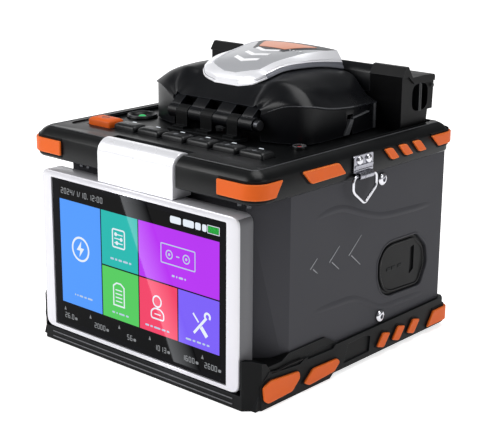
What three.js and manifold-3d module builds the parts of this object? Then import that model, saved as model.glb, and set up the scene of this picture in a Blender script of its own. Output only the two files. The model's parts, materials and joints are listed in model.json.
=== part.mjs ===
// A bench-top fibre fusion splicer: a bumper-protected case with a swing-up touch display on its
// front, a hinged windshield over the splicing stage and a heat-shrink oven along the back.
//
// Millimetres, +Z up, +X to the operator's right. Depths are given as distances behind the
// display's front plane. The assembly section then moves the whole group, so that its origin
// lies at the centre of the footprint, on the surface that the splicer stands on.

import * as THREE from 'three';
import { mergeVertices } from 'three/addons/utils/BufferGeometryUtils.js';
import Module from 'manifold-3d';

const wasm = await Module();
wasm.setup();

// ---------------------------------------------------------------- driving dimensions

const DEPTH = 157;                 // display front to the rear bumper pads
const GAP = 0.3;                   // clearance between pieces that rest on each other
const ARC = 5;                     // segments in a quarter-round corner

const BODY = { half: 72, front: 14, rear: 153, bottom: 2.6, top: 95.7, wall: 2.5,
  chamfer: 14, rearRadius: 3 };
const DECK = { half: 74, front: 2, rear: 155, bottom: 96, shoulder: 107, top: 110.6, radius: 8,
  flatInset: 6.5, wall: 3.5, underside: 106.5, floor: 108.5,
  floorHalf: 65, floorFront: 40, floorRear: 150, floorRadius: 6 };
const BUMPER = { half: 74, front: 0.8, rear: 155, top: 16.3, chamfer: 6.5, rearChamfer: 2.5,
  footEnd: 57, raisedFrom: 59.6, raised: 2, lip: 7, guardTop: 24, shoulderHalf: 73.1,
  shoulderTop: 22, slotHalf: 72.9, reliefHalf: 60, reliefRear: 80, relief: 1 };
const COVER = { half: 52, front: 34, rear: 138, radius: 6, bottom: 1.1 };
const FOOT = { x: 60, y: 140, radius: 5, height: 2.2 };
const PAD = { half: 75.5, front: 0.5, rear: DEPTH, thickness: 1.2, upperRadius: 9.5,
  lowerRadius: 4, corner: 1.4 };
const WRAP = { front: 52, rear: 58 };      // where the corner pads end on the front and the rear

const DISPLAY = { half: 66, bottom: 7.8, top: 90.5, depth: 10.5, radius: 4.5,
  glassHalf: 58.5, glassBottom: 10.5, glassTop: 86.9, glassThickness: 1.6, pocket: 2.6,
  openHalf: 54, openBottom: 14, openTop: 83, glassFront: 0.5, rearPocket: 8, pocketHalf: 60,
  pocketBottom: 11, pocketTop: 87, panelFront: 2.8, panelRear: 7.2, plate: 2 };
const ARM = { half: 25, front: 0.8, thickness: 5.2, pivotY: 7.6, pivotZ: 104.6, barrel: 6.8,
  pin: 2, pinHalf: 28, tongue: 2, tongueHalf: 22, tongueBottom: 76 };
const NOTCH = { half: 25.8, depth: 15.5, cheek: 3.4 };

const KEY = { half: 7.3, front: 26, rear: 35, bottom: 109.1, top: 113, well: 108, slack: 0.35,
  first: -33.6, pitch: 16.6, count: 6, crown: 0.5 };
const POWER = { left: -58.5, right: -42.6, front: 25, rear: 35, top: 113.6 };

const SHIELD_HINGE = { y: 52.6, z: 117.8, radius: 3.5, pin: 1.3, bore: 1.6, half: 29.2,
  leftEnd: -26.2, pinLeft: -27.5, headRadius: 2.6, headLength: 2.6 };
const STRIPS = [[-20, -12.5], [-3.5, 4], [14, 20.5]];      // bracket strips, left to right
const HOOD = { front: 56.5, rear: 119.5, bottom: 109.2, wall: 2.2,
  window: { front: 48, rear: 57.4, bottom: 112, top: 123 }, windowSlack: 0.4 };
const BRACKET = { half: 22.5, front: 45, rear: 55, top: 110.4, toe: 46, toeTop: 111.8 };

const HEATER = { half: 64, front: 122, rear: 145, bottom: 108.8, seat: 126, endInner: 44.5,
  lip: 0.8, channelFront: 130, channelRear: 142.5, channelDepth: 8.7 };
const TRAY = { half: 42.5, front: 131.2, rear: 142.2, bottom: 117.6, top: 121.8, grooveY: 136.7,
  grooveDepth: 2.6, grooveFloor: 0.8, grooveTop: 3.5 };
const LID = { half: 44, front: 122.4, rear: 148.4, bottom: 126.4, eaves: 136.4, top: 139.7,
  rearTop: 135.2, wall: 2.4, pivotY: 146.4, pivotZ: 128.9, pin: 1, bore: 1.3 };

const RING = { y: 76.9, x: 76.2, z: 97.5, wire: 0.9, loop: 1.9, bore: 1.3, half: 8.4, drop: 14,
  bulge: 1.3, waist: 7.5, barrelHalf: 4.6 };
const STRAP = { half: 7.1, bottom: 98.5, top: 107.2, thickness: 1, rivetZ: 104.6, rivetY: 3.5,
  rivet: 1.9, rivetHeight: 1.5 };
const SCREW = { y: [96, 98.3], z: [91, 20.1], radius: 3.2, height: 1.7 };
const PORT = { outer: 71.8, inner: 69.7, panelInner: 66.2, gap: 0.4, panelRim: 3,
  slot: { y: [125.5, 128.5], z: [36, 49], depth: 0.9 } };
const SOCKETS = { usb: { y: [102, 108], z: [36, 50] }, light: { y: [117, 128], z: 43,
  radius: 4.2 } };
const STAGE = { half: 42, front: 75, rear: 116, base: 108.8, deck: 113, fibreY: 97, fibreZ: 118,
  post: { half: 4.5, starts: [-15, 11], depth: 4, rise: 3 },
  carrier: { x: [18, 34], front: 9, rear: 15, drop: 2 },
  block: { x: [3, 13], half: 6, drop: 0.4 },
  groove: { half: 40, width: 1.6, top: 1, bottom: 1.8 } };
const ELECTRODE = { radius: 1.2, tip: 1.6, cone: 5, collar: 15.5, collarRadius: 2.2, end: 18 };
const CLAMP = { inner: 19, outer: 33, reach: 12, length: 18, below: 1.2, above: 0.8,
  knuckle: 1.6, tab: { inset: 4, start: 20.5, end: 17, below: 0.6 } };
const BATTERY = { half: 60, front: 88, rear: 146, radius: 3, top: 52 };
const BOARD = { half: 56, front: 20, rear: 84, bottom: 60, thickness: 1.6, chip: 2.4,
  heatSink: { x: [-50, -20], y: [62, 80], height: 10.4 } };

// ---------------------------------------------------------------- colours and finishes

const finish = (color, roughness, metalness = 0) =>
  new THREE.MeshStandardMaterial({ color, roughness, metalness });

const COLOUR = {
  shell: finish(0x434347, 0.6),
  bumper: finish(0x26282a, 0.7),
  deck: finish(0x303236, 0.45),
  orange: finish(0xe86f35, 0.5),
  silver: finish(0xd9dade, 0.3, 0.6),
  glass: finish(0x08080a, 0.08),
  hood: finish(0x2d2e31, 0.45),
  chrome: finish(0xe6e6e8, 0.15, 1),
  steel: finish(0xb5b7ba, 0.35, 1),
  heater: finish(0x151618, 0.4),
  rubber: finish(0x18191a, 0.85),
  board: finish(0x1f5a35, 0.6),
  brass: finish(0xb8904a, 0.35, 1),
};

// ---------------------------------------------------------------- solids and booleans

function solid(geometry) {
  const plain = geometry.clone();
  plain.deleteAttribute('normal');
  plain.deleteAttribute('uv');
  const merged = mergeVertices(plain, 1e-4);
  return new wasm.Manifold(new wasm.Mesh({
    numProp: 3,
    vertProperties: new Float32Array(merged.attributes.position.array),
    triVerts: new Uint32Array(merged.index.array),
  }));
}

function geometryOf(manifold) {
  const mesh = manifold.getMesh();
  const geometry = new THREE.BufferGeometry();
  geometry.setAttribute('position', new THREE.BufferAttribute(mesh.vertProperties, 3));
  geometry.setIndex(new THREE.BufferAttribute(mesh.triVerts, 1));
  geometry.computeVertexNormals();
  return geometry;
}

const join = (first, ...others) => others.reduce((sum, next) => sum.add(next), first);
const cut = (first, ...others) => others.reduce((rest, next) => rest.subtract(next), first);

// ---------------------------------------------------------------- outlines

function polygon(points) {
  return new THREE.Shape(points.map(([a, b]) => new THREE.Vector2(a, b)));
}

// A closed outline whose corners are rounded off, each by at most the given radius.
function rounded(points, radius) {
  const corners = points.map(([a, b]) => new THREE.Vector2(a, b));
  const shape = new THREE.Shape();
  corners.forEach((corner, i) => {
    const before = corners[(i + corners.length - 1) % corners.length];
    const after = corners[(i + 1) % corners.length];
    const reach = Math.min(radius, corner.distanceTo(before) / 2.2, corner.distanceTo(after) / 2.2);
    const start = corner.clone().lerp(before, reach / corner.distanceTo(before));
    const end = corner.clone().lerp(after, reach / corner.distanceTo(after));
    if (i === 0) shape.moveTo(start.x, start.y);
    else shape.lineTo(start.x, start.y);
    shape.quadraticCurveTo(corner.x, corner.y, end.x, end.y);
  });
  shape.closePath();
  return shape;
}

// A plan outline, symmetric about x = 0, with its own corner radii at the front and the rear.
function plan(half, front, rear, frontRadius, rearRadius = frontRadius) {
  const shape = new THREE.Shape();
  shape.moveTo(-half + frontRadius, front);
  shape.lineTo(half - frontRadius, front);
  shape.absarc(half - frontRadius, front + frontRadius, frontRadius, -Math.PI / 2, 0, false);
  shape.absarc(half - rearRadius, rear - rearRadius, rearRadius, 0, Math.PI / 2, false);
  shape.absarc(-half + rearRadius, rear - rearRadius, rearRadius, Math.PI / 2, Math.PI, false);
  shape.absarc(-half + frontRadius, front + frontRadius, frontRadius, Math.PI, Math.PI * 1.5,
    false);
  return shape;
}

const AXIS_X = new THREE.Matrix4().makeBasis(
  new THREE.Vector3(0, 1, 0), new THREE.Vector3(0, 0, 1), new THREE.Vector3(1, 0, 0));
const AXIS_Y = new THREE.Matrix4().makeBasis(
  new THREE.Vector3(1, 0, 0), new THREE.Vector3(0, 0, 1), new THREE.Vector3(0, -1, 0));

function extrude(shape, depth, options = {}) {
  return new THREE.ExtrudeGeometry(shape,
    { depth, bevelEnabled: false, curveSegments: ARC, ...options });
}

// Prisms along each axis. The outline of an X prism is (y, z), and of a Y prism (x, z).
const prismX = (shape, x0, x1) =>
  solid(extrude(shape, x1 - x0).applyMatrix4(AXIS_X).translate(x0, 0, 0));
const prismY = (shape, y0, y1) =>
  solid(extrude(shape, y1 - y0).applyMatrix4(AXIS_Y).translate(0, y1, 0));
const prismZ = (shape, z0, z1) => solid(extrude(shape, z1 - z0).translate(0, 0, z0));

// The same X prism on the right (side 1) or on the left (side -1).
const sidePrism = (shape, inner, outer, side) =>
  (side > 0 ? prismX(shape, inner, outer) : prismX(shape, -outer, -inner));

function box(x0, x1, y0, y1, z0, z1) {
  const geometry = new THREE.BoxGeometry(x1 - x0, y1 - y0, z1 - z0);
  return solid(geometry.translate((x0 + x1) / 2, (y0 + y1) / 2, (z0 + z1) / 2));
}

function sideBox(inner, outer, y0, y1, z0, z1, side) {
  return side > 0 ? box(inner, outer, y0, y1, z0, z1) : box(-outer, -inner, y0, y1, z0, z1);
}

function rodX(x0, x1, y, z, radius, segments = 24) {
  const geometry = new THREE.CylinderGeometry(radius, radius, x1 - x0, segments);
  return solid(geometry.rotateZ(Math.PI / 2).translate((x0 + x1) / 2, y, z));
}

function rodY(y0, y1, x, z, radius, segments = 24) {
  const geometry = new THREE.CylinderGeometry(radius, radius, y1 - y0, segments);
  return solid(geometry.translate(x, (y0 + y1) / 2, z));
}

function rodZ(z0, z1, x, y, radius, segments = 24) {
  const geometry = new THREE.CylinderGeometry(radius, radius, z1 - z0, segments);
  return solid(geometry.rotateX(Math.PI / 2).translate(x, y, (z0 + z1) / 2));
}

// A solid skinned over loops of equal length that follow each other along +Y. Each loop runs
// anticlockwise as seen from the front.
function loft(loops) {
  const count = loops[0].length;
  const vertices = loops.flat();
  const faces = [];
  for (let s = 0; s + 1 < loops.length; s += 1) {
    for (let i = 0; i < count; i += 1) {
      const next = (i + 1) % count;
      const a = s * count + i;
      const c = s * count + next;
      faces.push(a, a + count, c, a + count, c + count, c);
    }
  }
  for (const [start, flip] of [[0, false], [(loops.length - 1) * count, true]]) {
    const middle = vertices.length;
    const ring = vertices.slice(start, start + count);
    vertices.push(ring.reduce((sum, p) => sum.clone().add(p), new THREE.Vector3())
      .divideScalar(count));
    for (let i = 0; i < count; i += 1) {
      const a = start + i;
      const b = start + ((i + 1) % count);
      faces.push(middle, flip ? b : a, flip ? a : b);
    }
  }
  const geometry = new THREE.BufferGeometry().setFromPoints(vertices);
  geometry.setIndex(faces);
  return solid(geometry);
}

// Values of a set of stations [y, ...values] at any depth, joined by straight lines.
function between(stations, y) {
  const last = stations.length - 2;
  const found = stations.findIndex((station, i) => i <= last && y <= stations[i + 1][0]);
  const i = found < 0 ? last : found;
  const share = (y - stations[i][0]) / (stations[i + 1][0] - stations[i][0]);
  return stations[i].slice(1).map((value, k) =>
    THREE.MathUtils.lerp(value, stations[i + 1][k + 1], share));
}

// ---------------------------------------------------------------- case

// The case's outline from above: broad flat chamfers at the front and round corners behind.
function bodyPlan(grow) {
  const half = BODY.half + grow;
  const front = BODY.front - grow;
  const rear = BODY.rear + grow;
  const chamfer = BODY.chamfer + grow * (2 - Math.SQRT2);
  const radius = BODY.rearRadius + grow;
  const shape = new THREE.Shape();
  shape.moveTo(-half + chamfer, front);
  shape.lineTo(half - chamfer, front);
  shape.lineTo(half, front + chamfer);
  shape.absarc(half - radius, rear - radius, radius, 0, Math.PI / 2, false);
  shape.absarc(-half + radius, rear - radius, radius, Math.PI / 2, Math.PI, false);
  shape.lineTo(-half, front + chamfer);
  return shape;
}

// The socket panel's outline on the right-hand wall, as (y, z).
const PORT_OUTLINE = [[96, 40], [96, 49], [100.6, 54.9], [106.4, 56.7], [128.3, 56.2],
  [137, 48.1], [138.7, 38.5], [133.2, 27.8], [105.7, 28.8], [99.5, 32.3]];

// An outline moved outwards (or inwards, for a negative amount) from its own middle.
function grown(points, amount) {
  const cy = points.reduce((sum, p) => sum + p[0], 0) / points.length;
  const cz = points.reduce((sum, p) => sum + p[1], 0) / points.length;
  return points.map(([y, z]) => {
    const length = Math.hypot(y - cy, z - cz);
    const scale = (length + amount) / length;
    return [cy + (y - cy) * scale, cz + (z - cz) * scale];
  });
}

function bodyShell() {
  const outer = prismZ(bodyPlan(0), BODY.bottom, BODY.top);
  const inner = prismZ(bodyPlan(-BODY.wall), BODY.bottom + BODY.wall, BODY.top + 1);
  const portHole = prismX(rounded(grown(PORT_OUTLINE, PORT.gap), 2), BODY.half - BODY.wall - 1,
    BODY.half + 1);
  return cut(outer, inner, portHole);
}

function portPanel() {
  const { usb, light } = SOCKETS;
  const inner = PORT.panelInner;
  const plate = prismX(rounded(grown(PORT_OUTLINE, PORT.panelRim), 3), inner,
    BODY.half - BODY.wall - GAP);
  const lightPorts = light.y.map((y) => rodX(inner - 1, BODY.half, y, light.z, light.radius));
  return cut(plate, box(inner - 1, BODY.half, ...usb.y, ...usb.z), ...lightPorts);
}

function portCover() {
  const plate = prismX(rounded(PORT_OUTLINE, 2), PORT.inner, PORT.outer);
  const { y, z, depth } = PORT.slot;
  return cut(plate, box(PORT.outer - depth, PORT.outer + 1, ...y, ...z));
}

const bottomCover = () =>
  prismZ(plan(COVER.half, COVER.front, COVER.rear, COVER.radius), COVER.bottom, BODY.bottom - GAP);

const rearFoot = (side) => rodZ(0, FOOT.height, side * FOOT.x, FOOT.y, FOOT.radius, 20);

// The bumper seen from the side, as (y, z): its whole height, its front shoulder, the slot below
// the shoulder and the window behind it.
const BUMPER_SIDE = [[-1, 0], [BUMPER.footEnd, 0], [BUMPER.raisedFrom, BUMPER.raised],
  [DEPTH, BUMPER.raised], [DEPTH, BUMPER.top], [38, BUMPER.top], [34, 14.6], [14, 16.2],
  [10, BUMPER.guardTop - 2], [4, BUMPER.guardTop], [-1, BUMPER.guardTop]];
const BUMPER_SHOULDER = [[4, 0], [BUMPER.footEnd, 0], [BUMPER.footEnd, 4], [66, 4],
  [66, BUMPER.top], [63.7, BUMPER.top], [53.4, BUMPER.shoulderTop], [27, BUMPER.shoulderTop],
  [22, 19.5], [10, 19.5]];
const BUMPER_SLOT = [[39.4, 15.2], [41.5, 17.6], [61.4, 17.2], [59.2, 14.8]];
const BUMPER_WINDOW = [[67.8, 4.6], [71, 13.6], [84, 14.2], [89, 12.6], [88, 4.8]];

// The lower bumper: a moulded ring round the case, with a higher shoulder towards the front, a
// guard beside each bottom corner of the display and a low lip in front of it.
function lowerBumper() {
  const { half, front, rear, chamfer, rearChamfer } = BUMPER;
  const outline = polygon([[-half, front + chamfer], [-half + chamfer, front],
    [half - chamfer, front], [half, front + chamfer], [half, rear - rearChamfer],
    [half - rearChamfer, rear], [-half + rearChamfer, rear], [-half, rear - rearChamfer]]);
  const { shoulderHalf, slotHalf, lip, guardTop, reliefHalf, reliefRear, relief } = BUMPER;
  const ring = prismZ(outline, 0, guardTop + 1)
    .intersect(prismX(polygon(BUMPER_SIDE), -half, half));
  const shoulder = prismX(polygon(BUMPER_SHOULDER), -shoulderHalf, shoulderHalf);
  const displayHalf = DISPLAY.half + 2 * GAP;
  let bumper = cut(join(ring, shoulder),
    prismZ(bodyPlan(GAP), -1, guardTop + 2),
    box(-displayHalf, displayHalf, -1, BODY.front - GAP, lip, guardTop + 2),
    box(-reliefHalf, reliefHalf, BODY.front - 1, reliefRear, -1, relief));
  for (const side of [1, -1]) {
    bumper = cut(bumper, sidePrism(polygon(BUMPER_SLOT), slotHalf, half + 1, side),
      sidePrism(polygon(BUMPER_WINDOW), shoulderHalf, half + 1, side));
  }
  return bumper;
}

// The top deck: a moulded lid over the case with a rounded upper edge, a sunk working floor, a
// notch for the display arm and a well for each key.
function topDeck() {
  const { half, front, rear, bottom, shoulder, top, radius, flatInset, wall } = DECK;
  const flat = plan(half - flatInset, front + flatInset, rear - flatInset, radius - flatInset);
  const rise = top - shoulder;
  const outer = solid(extrude(flat, shoulder - bottom, { bevelEnabled: true,
    bevelThickness: rise, bevelSize: flatInset, bevelSegments: 3 }).translate(0, 0, bottom));
  const hollow = prismZ(plan(half - wall, front + wall, rear - wall, radius - wall),
    bottom - 5, DECK.underside);
  const cheeks = box(-NOTCH.half - NOTCH.cheek, NOTCH.half + NOTCH.cheek, front + 1,
    NOTCH.depth + 3, bottom, DECK.underside + 0.5);
  const below = box(-half, half, 0, DEPTH, bottom - 10, bottom);
  let deck = cut(join(cut(outer, hollow), cheeks), below,
    box(-NOTCH.half, NOTCH.half, -1, NOTCH.depth, bottom - 10, top + 5),
    rodX(-ARM.pinHalf - 0.5, ARM.pinHalf + 0.5, ARM.pivotY, ARM.pivotZ, ARM.pin + GAP),
    prismZ(plan(DECK.floorHalf, DECK.floorFront, DECK.floorRear, DECK.floorRadius), DECK.floor,
      top + 5),
    keyWell(POWER.left, POWER.right, POWER.front, POWER.rear));
  for (const x of keyCentres()) {
    deck = cut(deck, keyWell(x - KEY.half, x + KEY.half, KEY.front, KEY.rear));
  }
  return deck;
}

// ---------------------------------------------------------------- keys

const keyCentres = () =>
  Array.from({ length: KEY.count }, (_, i) => KEY.first + i * KEY.pitch);

function keyWell(left, right, front, rear) {
  return box(left - KEY.slack, right + KEY.slack, front - KEY.slack, rear + KEY.slack,
    KEY.well, KEY.top + 5);
}

function keyCap(left, right, front, rear, top) {
  const width = right - left;
  const dome = rounded([[left, KEY.bottom], [right, KEY.bottom], [right, top - KEY.crown],
    [left + width / 2, top], [left, top - KEY.crown]], 1);
  return prismY(dome, front, rear);
}

// ---------------------------------------------------------------- bumper pads

// A thin band round the case, just outside the deck and the lower bumper.
function padBand(z0, z1, radius) {
  const { half, front, rear, thickness: inset } = PAD;
  const rearInset = rear - DECK.rear - GAP;
  return cut(prismZ(plan(half, front, rear, radius), z0, z1),
    prismZ(plan(half - inset, front + inset, rear - rearInset, radius - inset), z0 - 1, z1 + 1));
}

const wrapPad = (outline, fromX, side, radius = PAD.upperRadius) => padBand(0, DECK.top, radius)
  .intersect(sidePrism(polygon(outline), fromX, PAD.half + 1, side));

const flatPad = (outline, side) =>
  sidePrism(rounded(outline, PAD.corner), PAD.half - PAD.thickness, PAD.half, side);

// Three slanting ribs on one thin backing strip.
function ribPads(ribs, strip, side) {
  const backing = sidePrism(polygon(strip), PAD.half - PAD.thickness,
    PAD.half - PAD.thickness + 0.4, side);
  return join(backing, ...ribs.map((rib) => flatPad(rib, side)));
}

const UPPER_PADS = {
  front: [[-1, 98.5], [13.9, 98.8], [18.5, 105.8], [-1, 105.7]],
  side: [[32.2, 106.5], [58.1, 106.2], [63.6, 100.2], [38.7, 100]],
  rear: [[133.7, 106.4], [158, 106.4], [158, 100.4], [140.5, 100.4]],
  strip: [[97, 104], [122, 104], [124, 102.5], [101, 102.5]],
};
const upperRib = (y) => [[y, 106.4], [y + 6, 106.2], [y + 12, 100.5], [y + 6.1, 100.4]];
const UPPER_RIBS = [93.8, 105.4, 117.1].map(upperRib);

const LOWER_PADS = {
  front: [[6.9, 11.7], [12.3, 13.8], [32.2, 12.1], [33, 8.6], [27.4, 3.5], [10.5, 2.9],
    [7.7, 5.1]],
  side: [[36.1, 4.6], [42.6, 10.1], [60.9, 9.6], [63.3, 7.3], [58.8, 3.5], [39.9, 2.4]],
  rear: [[135.9, 5.1], [142.9, 11], [158, 11.3], [158, 3.7], [139.8, 3.4]],
  strip: [[97, 8.6], [126, 8.6], [126, 7], [97, 7]],
};
const lowerRib = (y) => [[y, 5.6], [y + 4.8, 12], [y + 11, 10.4], [y + 5.6, 3.7]];
const LOWER_RIBS = [93.4, 106.4, 119.5].map(lowerRib);

// ---------------------------------------------------------------- strap rings and screws

function strapPlate(side) {
  const inner = PAD.half - PAD.thickness;
  const { y, x, z, loop, bore, barrelHalf } = RING;
  const { half, bottom, top, thickness, rivetY, rivetZ, rivet, rivetHeight } = STRAP;
  const plate = sideBox(inner, inner + thickness, y - half, y + half, bottom, top, side);
  const tube = cut(rodY(y - barrelHalf, y + barrelHalf, side * x, z, loop, 20),
    rodY(y - half, y + half, side * x, z, bore, 20));
  const rivets = [y - rivetY, y + rivetY].map((ry) => (side > 0
    ? rodX(inner, inner + rivetHeight, ry, rivetZ, rivet, 16)
    : rodX(-inner - rivetHeight, -inner, ry, rivetZ, rivet, 16)));
  return join(plate, tube, ...rivets);
}

function strapRing(side) {
  const { y, x, z, wire, half, drop, bulge, waist } = RING;
  const thick = 2 * wire;
  const shape = polygon([[y - half - bulge, z - waist], [y, z - drop - wire],
    [y + half + bulge, z - waist], [y + half, z + wire], [y - half, z + wire]]);
  const hole = polygon([[y - half + thick, z - wire], [y + half - thick, z - wire],
    [y + half + bulge - thick, z - waist + wire], [y, z - drop + wire],
    [y - half - bulge + thick, z - waist + wire]]);
  shape.holes.push(hole);
  return sidePrism(shape, x - wire, x + wire, side);
}

function caseScrew(index, side) {
  const start = BODY.half + GAP;
  const { radius, height } = SCREW;
  const profile = [[0, 0], [radius, 0], [radius, height * 0.4], [radius * 0.75, height * 0.8],
    [0, height]].map(([r, h]) => new THREE.Vector2(r, h));
  const head = new THREE.LatheGeometry(profile, 20).rotateZ(-side * Math.PI / 2);
  return solid(head.translate(side * start, SCREW.y[index], SCREW.z[index]));
}

// ---------------------------------------------------------------- display

const frontPlate = (half, bottom, top, radius) =>
  rounded([[-half, bottom], [half, bottom], [half, top], [-half, top]], radius);

function displayBezel() {
  const d = DISPLAY;
  const outer = prismY(frontPlate(d.half, d.bottom, d.top, d.radius), 0, d.depth);
  const glassPocket = box(-d.glassHalf - GAP, d.glassHalf + GAP, -1, d.pocket,
    d.glassBottom - GAP, d.glassTop + GAP);
  const opening = box(-d.openHalf, d.openHalf, 0, d.depth + 1, d.openBottom, d.openTop);
  const rearPocket = box(-d.pocketHalf, d.pocketHalf, d.rearPocket, d.depth + 1, d.pocketBottom,
    d.pocketTop);
  return cut(outer, glassPocket, opening, rearPocket);
}

function displayGlass() {
  const d = DISPLAY;
  return prismY(frontPlate(d.glassHalf, d.glassBottom, d.glassTop, 1), d.glassFront,
    d.glassFront + d.glassThickness);
}

function displayPanel() {
  const d = DISPLAY;
  const half = d.openHalf - GAP;
  return box(-half, half, d.panelFront, d.panelRear, d.openBottom + GAP, d.openTop - GAP);
}

function displayBack() {
  const d = DISPLAY;
  const half = d.pocketHalf - GAP;
  const front = d.rearPocket + GAP;
  return box(-half, half, front, front + d.plate, d.pocketBottom + GAP, d.pocketTop - GAP);
}

// The arm: a plate that rises from the display to a barrel round the hinge pin, with a tongue
// that carries the display from behind.
function displayArm() {
  const { half, front, thickness, pivotY, pivotZ, barrel, pin, tongueHalf } = ARM;
  const low = DISPLAY.top + GAP;
  const back = DISPLAY.depth + GAP;
  const side = polygon([[front, low], [back + ARM.tongue, low], [back + ARM.tongue, low + 2.5],
    [front + thickness, low + 6], [front + thickness, pivotZ], [front, pivotZ]]);
  const plate = prismX(side, -half, half);
  const tongue = box(-tongueHalf, tongueHalf, back, back + ARM.tongue, ARM.tongueBottom,
    low + 1);
  const bore = rodX(-half - 1, half + 1, pivotY, pivotZ, pin + GAP);
  return cut(join(plate, rodX(-half, half, pivotY, pivotZ, barrel, 32), tongue), bore);
}

const displayPin = () => rodX(-ARM.pinHalf, ARM.pinHalf, ARM.pivotY, ARM.pivotZ, ARM.pin);

// ---------------------------------------------------------------- windshield

// The hood at its stations: y, wall half-width, skirt height, crease half-width and height, and
// the half-width and height of its flat top.
const HOOD_STATIONS = [
  [56.5, 29.5, 122.6, 27.5, 124.4, 24, 125.2],
  [60, 41, 128, 34, 128.8, 22, 128.4],
  [64, 48.5, 128.2, 36.5, 132.4, 21.5, 131.7],
  [67, 51, 127.8, 39, 134.2, 21, 134.4],
  [70, 52, 127.2, 42, 134.4, 22, 136],
  [80, 52.3, 124.9, 45.3, 133, 23.6, 138.6],
  [95, 52.3, 123.4, 44.6, 131.2, 26, 139],
  [108, 51.6, 122.9, 42.8, 130.6, 27.6, 138],
  [119.5, 50.6, 122.4, 40.5, 129.2, 29.3, 135.8],
];
const HOOD_CROWN = 1.2;            // how far the slope between crease and top bulges

function hoodLoop(y, inset, bottom) {
  const [wall, skirt, creaseX, creaseZ, topX, topZ] = between(HOOD_STATIONS, y);
  const right = [[wall - inset, bottom], [wall - inset, skirt - inset / 2],
    [creaseX - inset, creaseZ - inset],
    [(creaseX + topX - inset) / 2, (creaseZ + topZ) / 2 + HOOD_CROWN - inset],
    [topX, topZ - inset]];
  const left = right.map(([x, z]) => [-x, z]).reverse();
  return [...right, ...left].map(([x, z]) => new THREE.Vector3(x, y, z));
}

function hoodSolid(inset, front, rear, bottom) {
  const inside = HOOD_STATIONS.map(([y]) => y).filter((y) => y > front + 1 && y < rear - 1);
  return loft([front, ...inside, rear].map((y) => hoodLoop(y, inset, bottom)));
}

const knuckleSpans = () => {
  const slack = HOOD.windowSlack;
  const gaps = STRIPS.flatMap(([a, b]) => [a - slack, b + slack]);
  const edges = [SHIELD_HINGE.leftEnd, ...gaps, SHIELD_HINGE.half];
  return [0, 2, 4, 6].map((i) => [edges[i], edges[i + 1]]);
};

// The brow over the hinge, as (y, z).
const BROW = [[52.3, 119], [52.3, 121.6], [58.2, 126.4], [61, 126.4], [61, 119], [56, 116.5]];

function windshieldShell() {
  const { y, z, radius, bore, leftEnd } = SHIELD_HINGE;
  const { window, windowSlack: slack } = HOOD;
  const brow = prismX(polygon(BROW), leftEnd, -leftEnd);
  const knuckles = knuckleSpans().map(([a, b]) => rodX(a, b, y, z, radius));
  const cavity = hoodSolid(HOOD.wall, HOOD.front + HOOD.wall, HOOD.rear - HOOD.wall,
    HOOD.bottom - 5);
  const windows = STRIPS.map(([a, b]) => box(a - slack, b + slack, window.front, window.rear,
    window.bottom, window.top));
  const strapRoom = box(STRIPS[0][0] - 5, STRIPS[2][1] + 5, BRACKET.rear, HOOD.front + 1.5,
    HOOD.bottom - 9, BRACKET.top + 5.6);
  const fibreSlot = box(-60, 60, STAGE.fibreY - 2.5, STAGE.fibreY + 2.5, HOOD.bottom - 5,
    STAGE.fibreZ + 1.5);
  const outer = join(hoodSolid(0, HOOD.front, HOOD.rear, HOOD.bottom), brow);
  return cut(join(cut(outer, cavity, ...windows), ...knuckles),
    rodX(-BODY.half, BODY.half, y, z, bore), fibreSlot, strapRoom);
}

// The cap at its stations: y, half-width at its foot, height of the trim round it, half-width and
// height of the rim above that, and height of its crown.
const CAP_STATIONS = [
  [63.8, 9, 135, 7.4, 135.3, 135.4],
  [65.4, 15.5, 136, 12, 136.9, 137.2],
  [67, 18.5, 137.2, 14, 138.2, 138.7],
  [70, 21.3, 139, 15.6, 140, 140.6],
  [80, 23.4, 141.7, 17, 142.8, 143.7],
  [95, 25.9, 142.2, 19.5, 144.8, 146],
  [108, 27.5, 141.4, 22.3, 145.6, 147],
  [120.5, 29.2, 140, 24.4, 145.2, 146.2],
];
const CAP_LEAN = 1.2;              // how far the cap's side leans in

function windshieldCap() {
  const loops = CAP_STATIONS.map(([y, half, trim, rimHalf, rim, crown]) => {
    const seat = between(HOOD_STATIONS, y).at(-1) + GAP;
    const right = [[half, seat], [half - CAP_LEAN, trim], [rimHalf, rim],
      [rimHalf / 2, crown]];
    const left = right.map(([x, z]) => [-x, z]).reverse();
    return [...right, ...left].map(([x, z]) => new THREE.Vector3(x, y, z));
  });
  return loft(loops);
}

function hingeBracket() {
  const { y, z, radius, bore } = SHIELD_HINGE;
  const { half, front, rear, top, toe, toeTop } = BRACKET;
  const round = radius + 0.2;
  const base = box(-half, half, front, rear, DECK.floor + GAP, top);
  const strips = STRIPS.map(([a, b]) => join(rodX(a, b, y, z, round),
    box(a, b, y - round, y - 0.6, top - 0.4, z), box(a, b, toe, y - 1, top - 0.4, toeTop)));
  return cut(join(base, ...strips), rodX(-half - 1, half + 1, y, z, bore));
}

function hingePin() {
  const { y, z, pin, half, pinLeft, headRadius, headLength } = SHIELD_HINGE;
  const head = half + GAP;
  return join(rodX(pinLeft, head + 1, y, z, pin, 20),
    rodX(head, head + headLength, y, z, headRadius, 20));
}

// ---------------------------------------------------------------- splicing stage

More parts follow.
